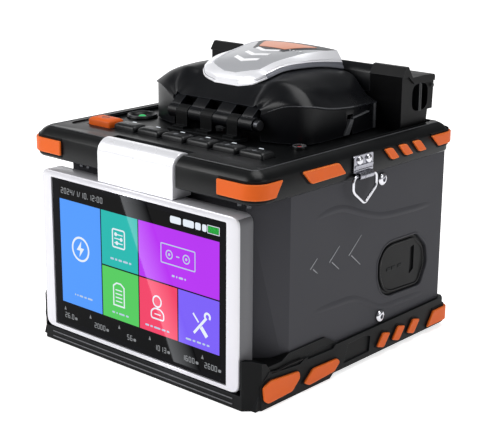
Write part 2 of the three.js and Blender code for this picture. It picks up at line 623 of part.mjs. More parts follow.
function spliceStage() {
  const { half, front, rear, fibreY, fibreZ, base, deck, post, carrier, block, groove } = STAGE;
  const plate = box(-half, half, front, rear, base, deck);
  const posts = post.starts.map((start) => box(-post.half, post.half, fibreY + start,
    fibreY + start + post.depth, deck - 1, fibreZ + post.rise));
  const carriers = [1, -1].flatMap((side) => [
    sideBox(...carrier.x, fibreY - carrier.front, fibreY + carrier.rear, deck - 1,
      fibreZ - carrier.drop, side),
    sideBox(...block.x, fibreY - block.half, fibreY + block.half, deck - 1,
      fibreZ - block.drop, side),
  ]);
  const channel = prismX(polygon([[fibreY - groove.width, fibreZ + groove.top],
    [fibreY, fibreZ - groove.bottom], [fibreY + groove.width, fibreZ + groove.top]]),
  -groove.half, groove.half);
  const bores = rodY(front, rear, 0, fibreZ, ELECTRODE.radius + GAP, 16);
  return cut(join(plate, ...posts, ...carriers), channel, bores);
}

// An electrode rod that points at the fibre from the front (side -1) or the rear (side 1).
function electrode(side) {
  const { radius, tip, cone, collar, collarRadius, end } = ELECTRODE;
  const profile = [[0, tip], [radius, cone], [radius, collar], [collarRadius, collar],
    [collarRadius, end], [0, end]].map(([r, h]) => new THREE.Vector2(r, h));
  const rod = new THREE.LatheGeometry(profile, 16);
  if (side < 0) rod.rotateX(Math.PI);
  return solid(rod.translate(0, STAGE.fibreY, STAGE.fibreZ));
}

function sheathClamp(side) {
  const { inner, outer, reach, length, below, above, knuckle, tab } = CLAMP;
  const y = STAGE.fibreY + reach;
  const z = STAGE.fibreZ;
  const flap = sideBox(inner, outer, y - length, y, z - below, z + above, side);
  const barrel = side > 0 ? rodX(inner, outer, y, z, knuckle, 20)
    : rodX(-outer, -inner, y, z, knuckle, 20);
  const lift = sideBox(inner + tab.inset, outer - tab.inset, y - tab.start, y - tab.end,
    z - tab.below, z + above, side);
  return join(flap, barrel, lift);
}

// ---------------------------------------------------------------- heater

// End profile of the oven body as (y, z): a tall front edge, a dip behind it and a flat top
// that overhangs the back.
const END_PROFILE = [[122, 108.8], [122, 136], [124.4, 140.6], [126, 140.8], [129.8, 135],
  [140, 135.2], [149, 134.6], [149.8, 133.4], [149.2, 117], [145, 117], [144, 108.8]];

// The lip round the top of each end and the fibre's way out below it, as (y, z).
const END_LIP = [[121.4, 136], [124.4, 140.6], [126, 140.8], [129.8, 135], [140, 135.2],
  [149, 134.6], [149.8, 133.4], [149.6, 131.4], [131.5, 131.6], [126.6, 135.6]];
const END_ARCH = [[131, 117.4], [144.8, 117.4], [144.8, 131], [131, 131]];

function heaterHousing() {
  const { half, front, rear, bottom, seat, endInner, lip } = HEATER;
  const middle = box(-endInner - 1, endInner + 1, front, rear, bottom, seat);
  const ends = [1, -1].flatMap((side) => [
    sidePrism(polygon(END_PROFILE), endInner, half, side),
    sidePrism(polygon(END_LIP), endInner, half + lip, side),
  ]);
  const arch = prismX(rounded(END_ARCH, 5), -half - 1, half + 1);
  const pinHoles = rodX(-endInner - 3, endInner + 3, LID.pivotY, LID.pivotZ, LID.bore, 16);
  const channel = box(-endInner, endInner, HEATER.channelFront, HEATER.channelRear,
    seat - HEATER.channelDepth, seat + 20);
  return cut(join(middle, ...ends), arch, pinHoles, channel);
}

// The heated tray, with a groove that the protection sleeve lies in.
function heaterTray() {
  const { half, front, rear, bottom, top, grooveY, grooveDepth, grooveFloor, grooveTop } = TRAY;
  const floor = top - grooveDepth;
  const groove = prismX(polygon([[grooveY - grooveTop, top + 0.2], [grooveY - grooveFloor, floor],
    [grooveY + grooveFloor, floor], [grooveY + grooveTop, top + 0.2]]), -half - 1, half + 1);
  return cut(box(-half, half, front, rear, bottom, top), groove);
}

function heaterLid() {
  const { half, front, rear, bottom, eaves, top, rearTop, wall, pivotY, pivotZ, bore } = LID;
  const hingeWall = wall + 1.8;
  const outer = polygon([[front, bottom], [front, eaves], [front + 3.2, top],
    [rear - 1.8, rearTop], [rear, rearTop - 2], [rear, bottom + 2], [rear - 2, bottom]]);
  const shell = prismX(outer, -half, half);
  const pocket = prismX(polygon([[front + wall, bottom - 1], [front + wall, eaves - 1],
    [front + wall + 2, top - wall], [rear - hingeWall, rearTop - wall],
    [rear - hingeWall, bottom - 1]]), -half + wall, half - wall);
  const fibreNotch = box(-half - 1, half + 1, 131, 142.8, bottom - 1, 131);
  return cut(shell, pocket, fibreNotch, rodX(-half - 1, half + 1, pivotY, pivotZ, bore, 16));
}

const heaterPin = () =>
  rodX(-HEATER.endInner - 2, HEATER.endInner + 2, LID.pivotY, LID.pivotZ, LID.pin, 16);

// ---------------------------------------------------------------- inside the case

const batteryPack = () =>
  prismZ(plan(BATTERY.half, BATTERY.front, BATTERY.rear, BATTERY.radius),
    BODY.bottom + BODY.wall + GAP, BATTERY.top);

const CHIPS = [[-30, 40, 16], [10, 55, 20], [40, 34, 12]];      // x, y and width

function mainBoard() {
  const { half, front, rear, bottom, thickness, chip, heatSink } = BOARD;
  const top = bottom + thickness;
  const board = box(-half, half, front, rear, bottom, top);
  const chips = CHIPS.map(([x, y, size]) =>
    box(x - size / 2, x + size / 2, y - size / 2, y + size / 2, top - 0.6, top + chip));
  return join(board, box(...heatSink.x, ...heatSink.y, top - 0.6, top + heatSink.height),
    ...chips);
}

// ---------------------------------------------------------------- assembly

const splicer = new THREE.Group();
const assembly = new THREE.Group();
assembly.position.set(0, -DEPTH / 2, 0);
splicer.add(assembly);

function add(name, material, manifold) {
  const mesh = new THREE.Mesh(geometryOf(manifold), material);
  mesh.name = name;
  assembly.add(mesh);
}

add('body_shell', COLOUR.shell, bodyShell());
add('bottom_cover', COLOUR.bumper, bottomCover());
add('lower_bumper', COLOUR.bumper, lowerBumper());
add('top_deck', COLOUR.deck, topDeck());
add('battery_pack', COLOUR.deck, batteryPack());
add('main_board', COLOUR.board, mainBoard());
add('port_panel', COLOUR.heater, portPanel());
add('port_cover', COLOUR.rubber, portCover());

for (const [word, side] of [['right', 1], ['left', -1]]) {
  add(`upper_pad_front_${word}`, COLOUR.orange, wrapPad(UPPER_PADS.front, WRAP.front, side));
  add(`upper_pad_side_${word}`, COLOUR.orange, flatPad(UPPER_PADS.side, side));
  add(`upper_pad_ribs_${word}`, COLOUR.orange, ribPads(UPPER_RIBS, UPPER_PADS.strip, side));
  add(`upper_pad_rear_${word}`, COLOUR.orange, wrapPad(UPPER_PADS.rear, WRAP.rear, side));
  add(`lower_pad_front_${word}`, COLOUR.orange, flatPad(LOWER_PADS.front, side));
  add(`lower_pad_side_${word}`, COLOUR.orange, flatPad(LOWER_PADS.side, side));
  add(`lower_pad_ribs_${word}`, COLOUR.orange, ribPads(LOWER_RIBS, LOWER_PADS.strip, side));
  add(`lower_pad_rear_${word}`, COLOUR.orange, wrapPad(LOWER_PADS.rear, WRAP.rear, side,
    PAD.lowerRadius));
  add(`strap_plate_${word}`, COLOUR.chrome, strapPlate(side));
  add(`strap_ring_${word}`, COLOUR.chrome, strapRing(side));
  add(`case_screw_upper_${word}`, COLOUR.chrome, caseScrew(0, side));
  add(`case_screw_lower_${word}`, COLOUR.chrome, caseScrew(1, side));
  add(`rear_foot_${word}`, COLOUR.rubber, rearFoot(side));
  add(`sheath_clamp_${word}`, COLOUR.steel, sheathClamp(side));
}

add('display_bezel', COLOUR.silver, displayBezel());
add('display_glass', COLOUR.glass, displayGlass());
add('display_panel', COLOUR.heater, displayPanel());
add('display_back', COLOUR.silver, displayBack());
add('display_arm', COLOUR.silver, displayArm());
add('display_hinge_pin', COLOUR.steel, displayPin());

add('power_key', COLOUR.orange,
  keyCap(POWER.left, POWER.right, POWER.front, POWER.rear, POWER.top));
keyCentres().forEach((x, i) => add(`function_key_${i + 1}`, COLOUR.rubber,
  keyCap(x - KEY.half, x + KEY.half, KEY.front, KEY.rear, KEY.top)));

add('windshield_shell', COLOUR.hood, windshieldShell());
add('windshield_cap', COLOUR.silver, windshieldCap());
add('windshield_bracket', COLOUR.bumper, hingeBracket());
add('windshield_pin', COLOUR.steel, hingePin());
add('splice_stage', COLOUR.steel, spliceStage());
add('electrode_front', COLOUR.brass, electrode(-1));
add('electrode_rear', COLOUR.brass, electrode(1));

add('heater_housing', COLOUR.heater, heaterHousing());
add('heater_tray', COLOUR.steel, heaterTray());
add('heater_lid', COLOUR.heater, heaterLid());
add('heater_pin', COLOUR.steel, heaterPin());

export default splicer;
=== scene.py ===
"""Looks of a bench-top fibre fusion splicer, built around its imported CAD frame.

Sizes are in millimetres: x to the operator's right, y behind the display's front plane and z up
from the bench. at() turns such a place into the frame's metres.
"""
import json
import math

import bmesh
import bpy
from mathutils import Matrix, Vector


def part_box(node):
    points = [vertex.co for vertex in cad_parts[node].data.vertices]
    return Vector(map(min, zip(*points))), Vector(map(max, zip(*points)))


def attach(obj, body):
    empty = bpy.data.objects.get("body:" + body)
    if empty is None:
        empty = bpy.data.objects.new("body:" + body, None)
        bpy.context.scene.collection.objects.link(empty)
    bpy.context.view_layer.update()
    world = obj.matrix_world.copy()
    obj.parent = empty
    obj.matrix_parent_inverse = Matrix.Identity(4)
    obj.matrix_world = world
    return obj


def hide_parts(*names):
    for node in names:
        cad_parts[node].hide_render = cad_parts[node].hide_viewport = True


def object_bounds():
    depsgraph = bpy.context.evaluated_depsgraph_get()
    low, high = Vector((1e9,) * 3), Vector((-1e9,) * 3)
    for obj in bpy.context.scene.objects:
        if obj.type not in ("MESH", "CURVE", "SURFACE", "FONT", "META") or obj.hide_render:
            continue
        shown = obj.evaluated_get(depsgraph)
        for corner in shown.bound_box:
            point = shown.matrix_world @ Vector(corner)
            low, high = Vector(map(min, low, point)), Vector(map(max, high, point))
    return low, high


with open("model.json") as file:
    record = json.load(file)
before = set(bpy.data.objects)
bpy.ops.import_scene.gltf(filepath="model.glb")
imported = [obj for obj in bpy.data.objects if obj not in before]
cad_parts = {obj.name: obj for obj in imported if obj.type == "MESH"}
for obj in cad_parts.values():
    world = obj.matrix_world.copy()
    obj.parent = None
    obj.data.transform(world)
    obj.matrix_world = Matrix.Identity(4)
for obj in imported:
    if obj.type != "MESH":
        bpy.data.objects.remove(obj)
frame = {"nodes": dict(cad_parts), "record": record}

CAD_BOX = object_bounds()
MM = 0.001
FRONT = CAD_BOX[0].y
BODY_OF = {node: body for body, nodes in frame["record"]["behaviour"]["bodies"].items()
           for node in nodes}
SIDES = (("right", 1), ("left", -1))


def at(x, y, z):
    return Vector((x * MM, FRONT + y * MM, z * MM))


def span(node):
    """The lowest and highest corner of a CAD node, in this script's millimetres."""
    low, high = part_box(node)
    return [Vector((p.x, p.y - FRONT, p.z)) / MM for p in (low, high)]


# ------------------------------------------------------------------ outlines

def rounded(points, radius, steps=4):
    """A closed outline with each corner replaced by a short curve."""
    out = []
    count = len(points)
    for i, point in enumerate(points):
        corner = Vector(point)
        before = Vector(points[i - 1])
        after = Vector(points[(i + 1) % count])
        reach = min(radius, (corner - before).length / 2.1, (corner - after).length / 2.1)
        start = corner + (before - corner).normalized() * reach
        end = corner + (after - corner).normalized() * reach
        for step in range(steps + 1):
            t = step / steps
            out.append(start * (1 - t) ** 2 + corner * 2 * t * (1 - t) + end * t * t)
    return out


def rectangle(left, right, low, high):
    return [(left, low), (right, low), (right, high), (left, high)]


def circle(a, b, radius, count=32, start=0.0, end=2 * math.pi):
    """Points round a centre. A full turn doesn't repeat its first point."""
    full = abs(end - start - 2 * math.pi) < 1e-6
    steps = count if full else count - 1
    return [(a + radius * math.cos(start + (end - start) * i / steps),
             b + radius * math.sin(start + (end - start) * i / steps)) for i in range(count)]


def plan(half, front, rear, front_radius, rear_radius, steps=8):
    """An outline from above, symmetric about x = 0, with its own radii in front and behind."""
    quarter = math.pi / 2
    points = []
    for sign_x, y, radius, turn in ((1, front + front_radius, front_radius, -1),
                                    (1, rear - rear_radius, rear_radius, 0),
                                    (-1, rear - rear_radius, rear_radius, 1),
                                    (-1, front + front_radius, front_radius, 2)):
        points += circle(sign_x * (half - radius), y, radius, steps, turn * quarter,
                         (turn + 1) * quarter)
    return points


def lerp(a, b, share):
    return a + (b - a) * share


def curve_through(stations, y):
    """Smoothly interpolated values of stations [y, ...values] at y."""
    i = max(k for k in range(len(stations) - 1) if k == 0 or stations[k][0] <= y)
    low, high = stations[i], stations[i + 1]
    width = high[0] - low[0]
    t = (y - low[0]) / width

    def slope(k, column):
        left, right = stations[max(k - 1, 0)], stations[min(k + 1, len(stations) - 1)]
        return (right[column] - left[column]) / (right[0] - left[0])

    values = []
    for column in range(1, len(low)):
        a, b = low[column], high[column]
        m0, m1 = slope(i, column) * width, slope(i + 1, column) * width
        values.append((2 * t ** 3 - 3 * t ** 2 + 1) * a + (t ** 3 - 2 * t ** 2 + t) * m0
                      + (3 * t ** 2 - 2 * t ** 3) * b + (t ** 3 - t ** 2) * m1)
    return values


# ------------------------------------------------------------------ mesh building

AXES = {"x": lambda a, b, c: (c, a, b), "y": lambda a, b, c: (a, c, b),
        "z": lambda a, b, c: (a, b, c)}


def add_skin(bm, rows, closed=True, caps=True):
    """Skins rows of points and returns its rings of vertices. Closed rows are rings, and caps
    close the first and last row."""
    rings = [[bm.verts.new(p) for p in row] for row in rows]
    count = len(rings[0])
    for first, second in zip(rings, rings[1:]):
        for i in range(count if closed else count - 1):
            j = (i + 1) % count
            bm.faces.new((first[i], first[j], second[j], second[i]))
    if caps:
        bm.faces.new(rings[0][::-1])
        bm.faces.new(rings[-1])
    return rings


def add_prism(bm, outline, axis, low, high):
    """A closed prism. The outline of an x prism is (y, z), of a y prism (x, z)."""
    place = AXES[axis]
    add_skin(bm, [[place(a, b, c) for a, b in outline] for c in (low, high)])


def add_box(bm, x, y, z):
    add_prism(bm, rectangle(*x, *y), "z", *z)


def add_lathe(bm, profile, axis, centre, count=32):
    """Spins a profile of (radius, height) about an axis through centre; both ends on it."""
    place = AXES[axis]
    rows = []
    for radius, height in profile[1:-1]:
        rows.append([Vector(place(a, b, height)) + Vector(centre)
                     for a, b in circle(0, 0, radius, count)])
    rings = add_skin(bm, rows, caps=False)
    for (_, height), ring in ((profile[0], rings[0]), (profile[-1], rings[-1])):
        tip = bm.verts.new(Vector(place(0, 0, height)) + Vector(centre))
        for i in range(count):
            bm.faces.new((ring[i], ring[(i + 1) % count], tip))


def add_tube(bm, path, radius, normal, closed=False, count=12):
    """A round tube along a flat path, whose plane has the given normal."""
    points = [Vector(p) for p in path]
    last = len(points) - 1
    rows = []
    for i, point in enumerate(points):
        before = points[i - 1] if closed or i else point
        after = points[(i + 1) % len(points)] if closed or i < last else point
        side = (after - before).normalized().cross(normal)
        rows.append([point + side * radius * math.cos(a) + normal * radius * math.sin(a)
                     for a in (2 * math.pi * k / count for k in range(count))])
    if closed:
        rows.append(rows[0])
    add_skin(bm, rows, caps=not closed)
    if closed:
        bmesh.ops.remove_doubles(bm, verts=bm.verts, dist=1e-5)


def made(name, build):
    """A new object whose mesh is what build fills in, in millimetres."""
    bm = bmesh.new()
    build(bm)
    for vert in bm.verts:
        vert.co = at(*vert.co)
    bmesh.ops.recalc_face_normals(bm, faces=bm.faces)
    mesh = bpy.data.meshes.new(name)
    bm.to_mesh(mesh)
    bm.free()
    obj = bpy.data.objects.new(name, mesh)
    bpy.context.scene.collection.objects.link(obj)
    return obj


def piece(name, build, finish, body, replaces=(), bevel=0.0, segments=2,
          smooth=35.0, thicken=0.0, carve=None):
    """Makes one visible piece, finishes it and puts it on its body."""
    obj = made(name, build)
    if thicken:
        shell = obj.modifiers.new("Wall", "SOLIDIFY")
        shell.thickness = thicken * MM
        shell.offset = -1
        bake_modifiers(obj)
    if carve:
        carve_away(obj, carve)
    for material in finish if isinstance(finish, (list, tuple)) else [finish]:
        obj.data.materials.append(material)
    obj.data.shade_smooth()
    obj.data.set_sharp_from_angle(angle=math.radians(smooth))
    if bevel:
        round_edges(obj, bevel, segments, smooth)
    if replaces:
        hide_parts(*replaces)
    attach(obj, body)


def round_edges(obj, width, segments, angle):
    """Softly rounds the edges that are sharper than an angle in degrees."""
    edge = obj.modifiers.new("Edges", "BEVEL")
    edge.width = width * MM
    edge.segments = segments
    edge.limit_method = "ANGLE"
    edge.angle_limit = math.radians(angle)
    edge.harden_normals = True


def bake_modifiers(obj):
    """Replaces the mesh by what the modifiers make of it."""
    graph = bpy.context.evaluated_depsgraph_get()
    graph.update()
    mesh = bpy.data.meshes.new_from_object(obj.evaluated_get(graph))
    obj.modifiers.clear()
    obj.data = mesh


def carve_away(obj, build):
    """Cuts a second solid, filled in by build, out of a piece."""
    cutter = made("cutter", build)
    mesh = cutter.data
    cut = obj.modifiers.new("Cut", "BOOLEAN")
    cut.operation = "DIFFERENCE"
    cut.solver = "EXACT"
    cut.use_self = True
    cut.object = cutter
    bake_modifiers(obj)
    bpy.data.objects.remove(cutter)
    bpy.data.meshes.remove(mesh)


KEPT_ANGLE = 32.0


def keep(node, material, bevel=0.0):
    """Gives a CAD node its finish and, where asked, softly rounded edges."""
    obj = frame["nodes"][node]
    obj.data.materials.clear()
    obj.data.materials.append(material)
    if bevel:
        weld = obj.modifiers.new("Weld", "WELD")
        weld.merge_threshold = 0.01 * MM
        round_edges(obj, bevel, 2, KEPT_ANGLE)


# ------------------------------------------------------------------ materials

def srgb(r, g, b):
    """A linear colour from the 0 to 255 values that a screen shows."""
    def linear(value):
        share = value / 255
        return share / 12.92 if share <= 0.04045 else ((share + 0.055) / 1.055) ** 2.4
    return (linear(r), linear(g), linear(b), 1.0)


class Shader:
    """A node tree with a Principled shader and short calls for the usual inputs."""

    def __init__(self, name):
        self.material = bpy.data.materials.new(name)
        self.material.use_nodes = True
        self.nodes = self.material.node_tree.nodes
        self.links = self.material.node_tree.links
        self.main = self.nodes["Principled BSDF"]
        self.coords = self.nodes.new("ShaderNodeTexCoord").outputs["Object"]

    def set(self, **values):
        for name, value in values.items():
            self.main.inputs[name.replace("_", " ")].default_value = value

    def noise(self, scale, detail=3.0, stretch=None):
        node = self.nodes.new("ShaderNodeTexNoise")
        node.inputs["Scale"].default_value = scale
        node.inputs["Detail"].default_value = detail
        source = self.coords
        if stretch:
            mapping = self.nodes.new("ShaderNodeMapping")
            mapping.inputs["Scale"].default_value = stretch
            self.links.new(source, mapping.inputs["Vector"])
            source = mapping.outputs["Vector"]
        self.links.new(source, node.inputs["Vector"])
        return node.outputs["Fac"]

    def mix(self, factor, dark, light):
        node = self.nodes.new("ShaderNodeMix")
        node.data_type = "RGBA"
        self.links.new(factor, node.inputs["Factor"])
        for socket, value in ((node.inputs["A"], dark), (node.inputs["B"], light)):
            if isinstance(value, bpy.types.NodeSocket):
                self.links.new(value, socket)
            else:
                socket.default_value = value
        return node.outputs["Result"]

    def spread(self, factor, low, high, start=0.3, end=0.7):
        """Maps a noise's middle band onto low to high."""
        node = self.nodes.new("ShaderNodeMapRange")
        node.inputs["From Min"].default_value = start
        node.inputs["From Max"].default_value = end
        node.inputs["To Min"].default_value = low
        node.inputs["To Max"].default_value = high
        self.links.new(factor, node.inputs["Value"])
        return node.outputs["Result"]

    def edges(self, radius):
        """A mask that is 1 along edges, from the difference to a rounded normal."""
        bevel = self.nodes.new("ShaderNodeBevel")
        bevel.samples = 4
        bevel.inputs["Radius"].default_value = radius * MM
        geometry = self.nodes.new("ShaderNodeNewGeometry")
        dot = self.nodes.new("ShaderNodeVectorMath")
        dot.operation = "DOT_PRODUCT"
        self.links.new(bevel.outputs["Normal"], dot.inputs[0])
        self.links.new(geometry.outputs["Normal"], dot.inputs[1])
        return self.spread(dot.outputs["Value"], 1.0, 0.0, 0.9, 0.995)

    def bump(self, height, strength, distance):
        node = self.nodes.new("ShaderNodeBump")
        node.inputs["Strength"].default_value = strength
        node.inputs["Distance"].default_value = distance * MM
        self.links.new(height, node.inputs["Height"])
        self.links.new(node.outputs["Normal"], self.main.inputs["Normal"])
        return self

    def plug(self, name, output):
        self.links.new(output, self.main.inputs[name])


def vary(colour, share):
    """The colour a little darker or lighter."""
    return tuple(min(1.0, channel * share) for channel in colour[:3]) + (1.0,)


def moulded(name, colour, roughness, specular=0.5, grain=1800.0, edge_wear_and_highlight=None):
    """Moulded plastic: fine grain, cloudy gloss, slight shade changes and, where an edge colour is
    given, edges painted lighter, partly as wear and partly as painted highlight.
    """
    s = Shader(name)
    s.set(Specular_IOR_Level=specular)
    cloud = s.noise(35.0, 4.0)
    shade = s.mix(cloud, vary(colour, 0.88), vary(colour, 1.12))
    # edges painted lighter: wear and painted highlight
    if edge_wear_and_highlight:
        shade = s.mix(s.edges(0.6), shade, edge_wear_and_highlight)
    s.plug("Base Color", shade)
    s.plug("Roughness", s.spread(cloud, roughness - 0.06, roughness + 0.06))
    return s.bump(s.noise(grain, 2.0), 0.35, 0.02).material


def painted(name, colour, roughness):
    """Satin metal paint with a faint flake."""
    s = Shader(name)
    s.set(Metallic=0.35, Coat_Weight=0.35, Coat_Roughness=0.18)
    flake = s.noise(6000.0, 1.0)
    s.plug("Base Color", s.mix(flake, vary(colour, 0.95), vary(colour, 1.04)))
    s.plug("Roughness", s.spread(s.noise(25.0), roughness - 0.05, roughness + 0.05))
    return s.bump(flake, 0.08, 0.01).material


def metal(name, colour, roughness, stretch=(1.0, 1.0, 1.0)):
    """Bare or plated metal; a stretched noise gives it the lines of a brushed finish."""
    s = Shader(name)
    s.set(Metallic=1.0)
    lines = s.noise(900.0, 3.0, stretch)
    s.plug("Base Color", s.mix(lines, vary(colour, 0.88), vary(colour, 1.05)))
    s.plug("Roughness", s.spread(lines, max(0.03, roughness - 0.05), roughness + 0.08))
    return s.bump(lines, 0.1, 0.01).material


def elastomer(name, colour, edge):
    """Satin rubber with a soft sheen, fine speckle and edges painted lighter as a highlight."""
    s = Shader(name)
    s.set(Specular_IOR_Level=0.2, Sheen_Weight=0.04, Sheen_Roughness=0.4)
    cloud = s.noise(120.0, 4.0)
    shade = s.mix(cloud, vary(colour, 0.93), vary(colour, 1.06))
    # painted highlight: every edge takes the lighter edge colour
    s.plug("Base Color", s.mix(s.edges(0.5), shade, edge))
    s.plug("Roughness", s.spread(cloud, 0.42, 0.55))
    return s.bump(s.noise(2600.0, 2.0), 0.25, 0.02).material


def glazed(name):
    """The display's black cover glass, with a trace of fingerprints in its gloss."""
    s = Shader(name)
    s.set(Base_Color=(0.002, 0.002, 0.003, 1.0), Specular_IOR_Level=0.04)
    prints = s.noise(60.0, 5.0)
    s.plug("Roughness", s.spread(prints, 0.04, 0.075))
    return s.material


def lit(name, colour, strength=1.0):
    """A lit patch of the screen behind the glass, a little uneven like any backlight."""
    s = Shader(name)
    s.set(Base_Color=vary(colour, 0.02), Roughness=0.08, Specular_IOR_Level=0.04,
          Emission_Strength=strength)
    glow = s.noise(18.0, 1.0)
    s.plug("Emission Color", s.mix(glow, vary(colour, 0.93), vary(colour, 1.05)))
    return s.material


def backdrop(name, colour, glow):
    """The white floor, lit from within just enough to stay white."""
    s = Shader(name)
    s.set(Roughness=0.9, Specular_IOR_Level=0.1, Emission_Color=colour, Emission_Strength=glow)
    s.plug("Base Color", s.mix(s.noise(8.0), vary(colour, 0.985), colour))
    return s.material


SOFT_ORANGE = moulded("label_print", srgb(206, 132, 100), 0.35, 0.5)
# the last colour of each plastic below is its edge colour: wear and painted highlight along the
# edges
CASE = moulded("case_plastic", srgb(60, 60, 64), 0.6, 0.12, edge_wear_and_highlight=srgb(66, 66, 70))
BUMPER = moulded("bumper_plastic", srgb(9, 10, 11), 0.5, 0.12, edge_wear_and_highlight=srgb(34, 36, 38))
DECK = moulded("deck_plastic", srgb(8, 9, 10), 0.33, 0.22, edge_wear_and_highlight=srgb(44, 46, 49))
HOOD = moulded("hood_plastic", srgb(10, 11, 14), 0.32, 0.2, grain=1400.0, edge_wear_and_highlight=srgb(42, 44, 48))
BLACK = moulded("black_plastic", srgb(6, 6, 7), 0.42, 0.12, edge_wear_and_highlight=srgb(26, 27, 29))
GREY = moulded("grey_plastic", srgb(92, 92, 95), 0.45, 0.3)
DARK_GREY = moulded("dark_grey_plastic", srgb(52, 53, 56), 0.4, 0.3)
TRIM = moulded("grey_trim", srgb(120, 122, 126), 0.3, 0.5)
KEY = moulded("key_silicone", srgb(12, 13, 15), 0.36, 0.32, edge_wear_and_highlight=srgb(40, 42, 45))
# the second colour is a painted highlight along the pads' edges
ORANGE = elastomer("orange_elastomer", srgb(206, 86, 8), srgb(240, 148, 76))
SILVER = painted("silver_paint", srgb(240, 240, 244), 0.3)
BEZEL = painted("bezel_paint", srgb(204, 203, 208), 0.34)
PANEL = painted("cap_panel_paint", srgb(178, 179, 183), 0.34)
CHROME = metal("chrome_plate", srgb(205, 205, 210), 0.1)
PLATED = metal("plated_steel", srgb(158, 158, 166), 0.24, (1.0, 1.0, 30.0))
STEEL = metal("machined_steel", srgb(178, 180, 184), 0.28, (1.0, 40.0, 40.0))
GUNMETAL = metal("black_steel", srgb(70, 71, 74), 0.35)
BRASS = metal("turned_brass", srgb(196, 158, 84), 0.25, (40.0, 1.0, 40.0))
BOARD = moulded("solder_mask", srgb(26, 92, 52), 0.4)
CELL = moulded("cell_wrap", srgb(40, 44, 60), 0.3)
GLASS = glazed("cover_glass")
WHITE_MARK = moulded("white_print", srgb(240, 240, 242), 0.4, 0.3)
# a mid grey for thin raised lines; on the deck's rim and the hood's skirt it is painted highlight
# along those edges
BEAD = moulded("hood_bead", srgb(72, 73, 76), 0.35, 0.4)
CAP_TRIM = painted("cap_trim_paint", srgb(112, 114, 122), 0.3)
LABEL = moulded("grey_print", srgb(96, 98, 102), 0.5, 0.3)
# near black: painted shade round the orange pads
PAD_SHADE = moulded("pad_seat", srgb(9, 8, 8), 0.7, 0.15)


# ------------------------------------------------------------------ case and bumpers

def side_x(side, inner, outer):
    """A span in x on the right (side 1) or the left (side -1)."""
    return sorted((side * inner, side * outer))


# what each chevron on the case starts at, as (y, z), and how far its two strokes rise and fall
CHEVRONS = ((42.6, 57.9, 4.4, 3.0), (56.7, 57.9, 6.6, 4.8), (71.7, 57.7, 8.4, 6.4))
# the crests of the soft S-shaped swells on each side of the case, as (y, z)
SWELLS = {
    "upper": ((46, 81.4), (57.9, 82.8), (67.8, 81.7), (79.8, 77.3), (96.2, 72.3),
              (117.5, 70.4), (141, 69.4)),
    "lower": ((46, 36), (62.2, 35.6), (76.4, 34.6), (87.2, 29.8), (99.1, 24.2), (116.5, 22.9),
              (137, 22.3)),
}
# a swell's cross-section, as (distance above its crest line, share of its rise)
SWELL_SECTION = ((-2.6, 0), (-1.8, 0.16), (-1.0, 0.55), (-0.4, 0.92), (0.1, 1.0), (0.8, 0.84),
                 (1.7, 0.42), (2.5, 0.1), (3.1, 0))
SWELL_RISE, SWELL_ROOT, SWELL_STEPS = 0.6, 0.2, 48


def case():
    keep("body_shell", CASE, bevel=0.5)
    wall = span("body_shell")[1].x
    for word, side in SIDES:
        def marks(bm, side=side):
            for y, z, up, down in CHEVRONS:
                for rise, start in ((up, 0.0), (-down, 2.0)):
                    a = Vector((y + start, z + math.copysign(0.2, rise)))
                    b = Vector((y + start + abs(rise) * 1.15, z + rise))
                    across = (b - a).orthogonal().normalized() * 0.28
                    outline = [a - across, b - across * 0.6, b + across * 0.6, a + across]
                    add_prism(bm, outline, "x", *side_x(side, wall - 0.1, wall + 0.12))
        piece(f"case_chevrons_{word}", marks, TRIM, "base")
        for label, line in SWELLS.items():
            def swell(bm, side=side, line=line):
                rows = []
                for i in range(SWELL_STEPS + 1):
                    share = i / SWELL_STEPS
                    y = lerp(line[0][0], line[-1][0], share)
                    centre = curve_through(line, y)[0]
                    fade = math.sin(math.pi / 2 * min(1, 5 * share, 5 * (1 - share)))
                    rise = SWELL_ROOT + SWELL_RISE * fade
                    rows.append([(side * (wall - SWELL_ROOT + rise * up), y, centre + step)
                                 for step, up in SWELL_SECTION])
                add_skin(bm, rows)
            piece(f"case_{label}_swell_{word}", swell, CASE, "base",
                  smooth=80)


def bumper():
    keep("lower_bumper", BUMPER, bevel=0.5)
    keep("bottom_cover", BLACK, bevel=0.2)
    low, high = span("lower_bumper")
    for word, side in SIDES:
        keep(f"rear_foot_{word}", KEY, bevel=0.3)

        def ridge(bm, side=side):
            points = [(36, 16.6), (27, 16.9), (18, 16.4), (12, 17.4), (7.5, 13.5)]
            path = [(side * (high.x - 0.1), y, z) for y, z in points]
            add_tube(bm, path, 0.45, Vector((side, 0, 0)), count=8)
        piece(f"bumper_ridge_{word}", ridge, BLACK, "base")

    # two thin grey lines across the black front lip: painted highlight along its ridges
    def lip_highlight_lines(bm):
        for z in (1.9, 4.6):
            add_prism(bm, [(-62, z), (62, z), (62, z + 0.5), (-62, z + 0.5)], "y",
                      low.y - 0.25, low.y + 0.2)
    piece("bumper_lip_highlight_lines", lip_highlight_lines, GREY, "base")


NOTCH_HALF, NOTCH_DEPTH = 25.8, 15.5
DECK_EDGE = ((0.7, 0.0), (0.0, 0.7), (0.0, 10.4), (0.5, 11.3), (2.0, 12.9), (3.6, 13.9),
             (5.2, 14.5), (5.6, 14.75), (6.1, 14.6))
DECK_FLOOR_DROP = 2.1
KEY_GAP = 0.4


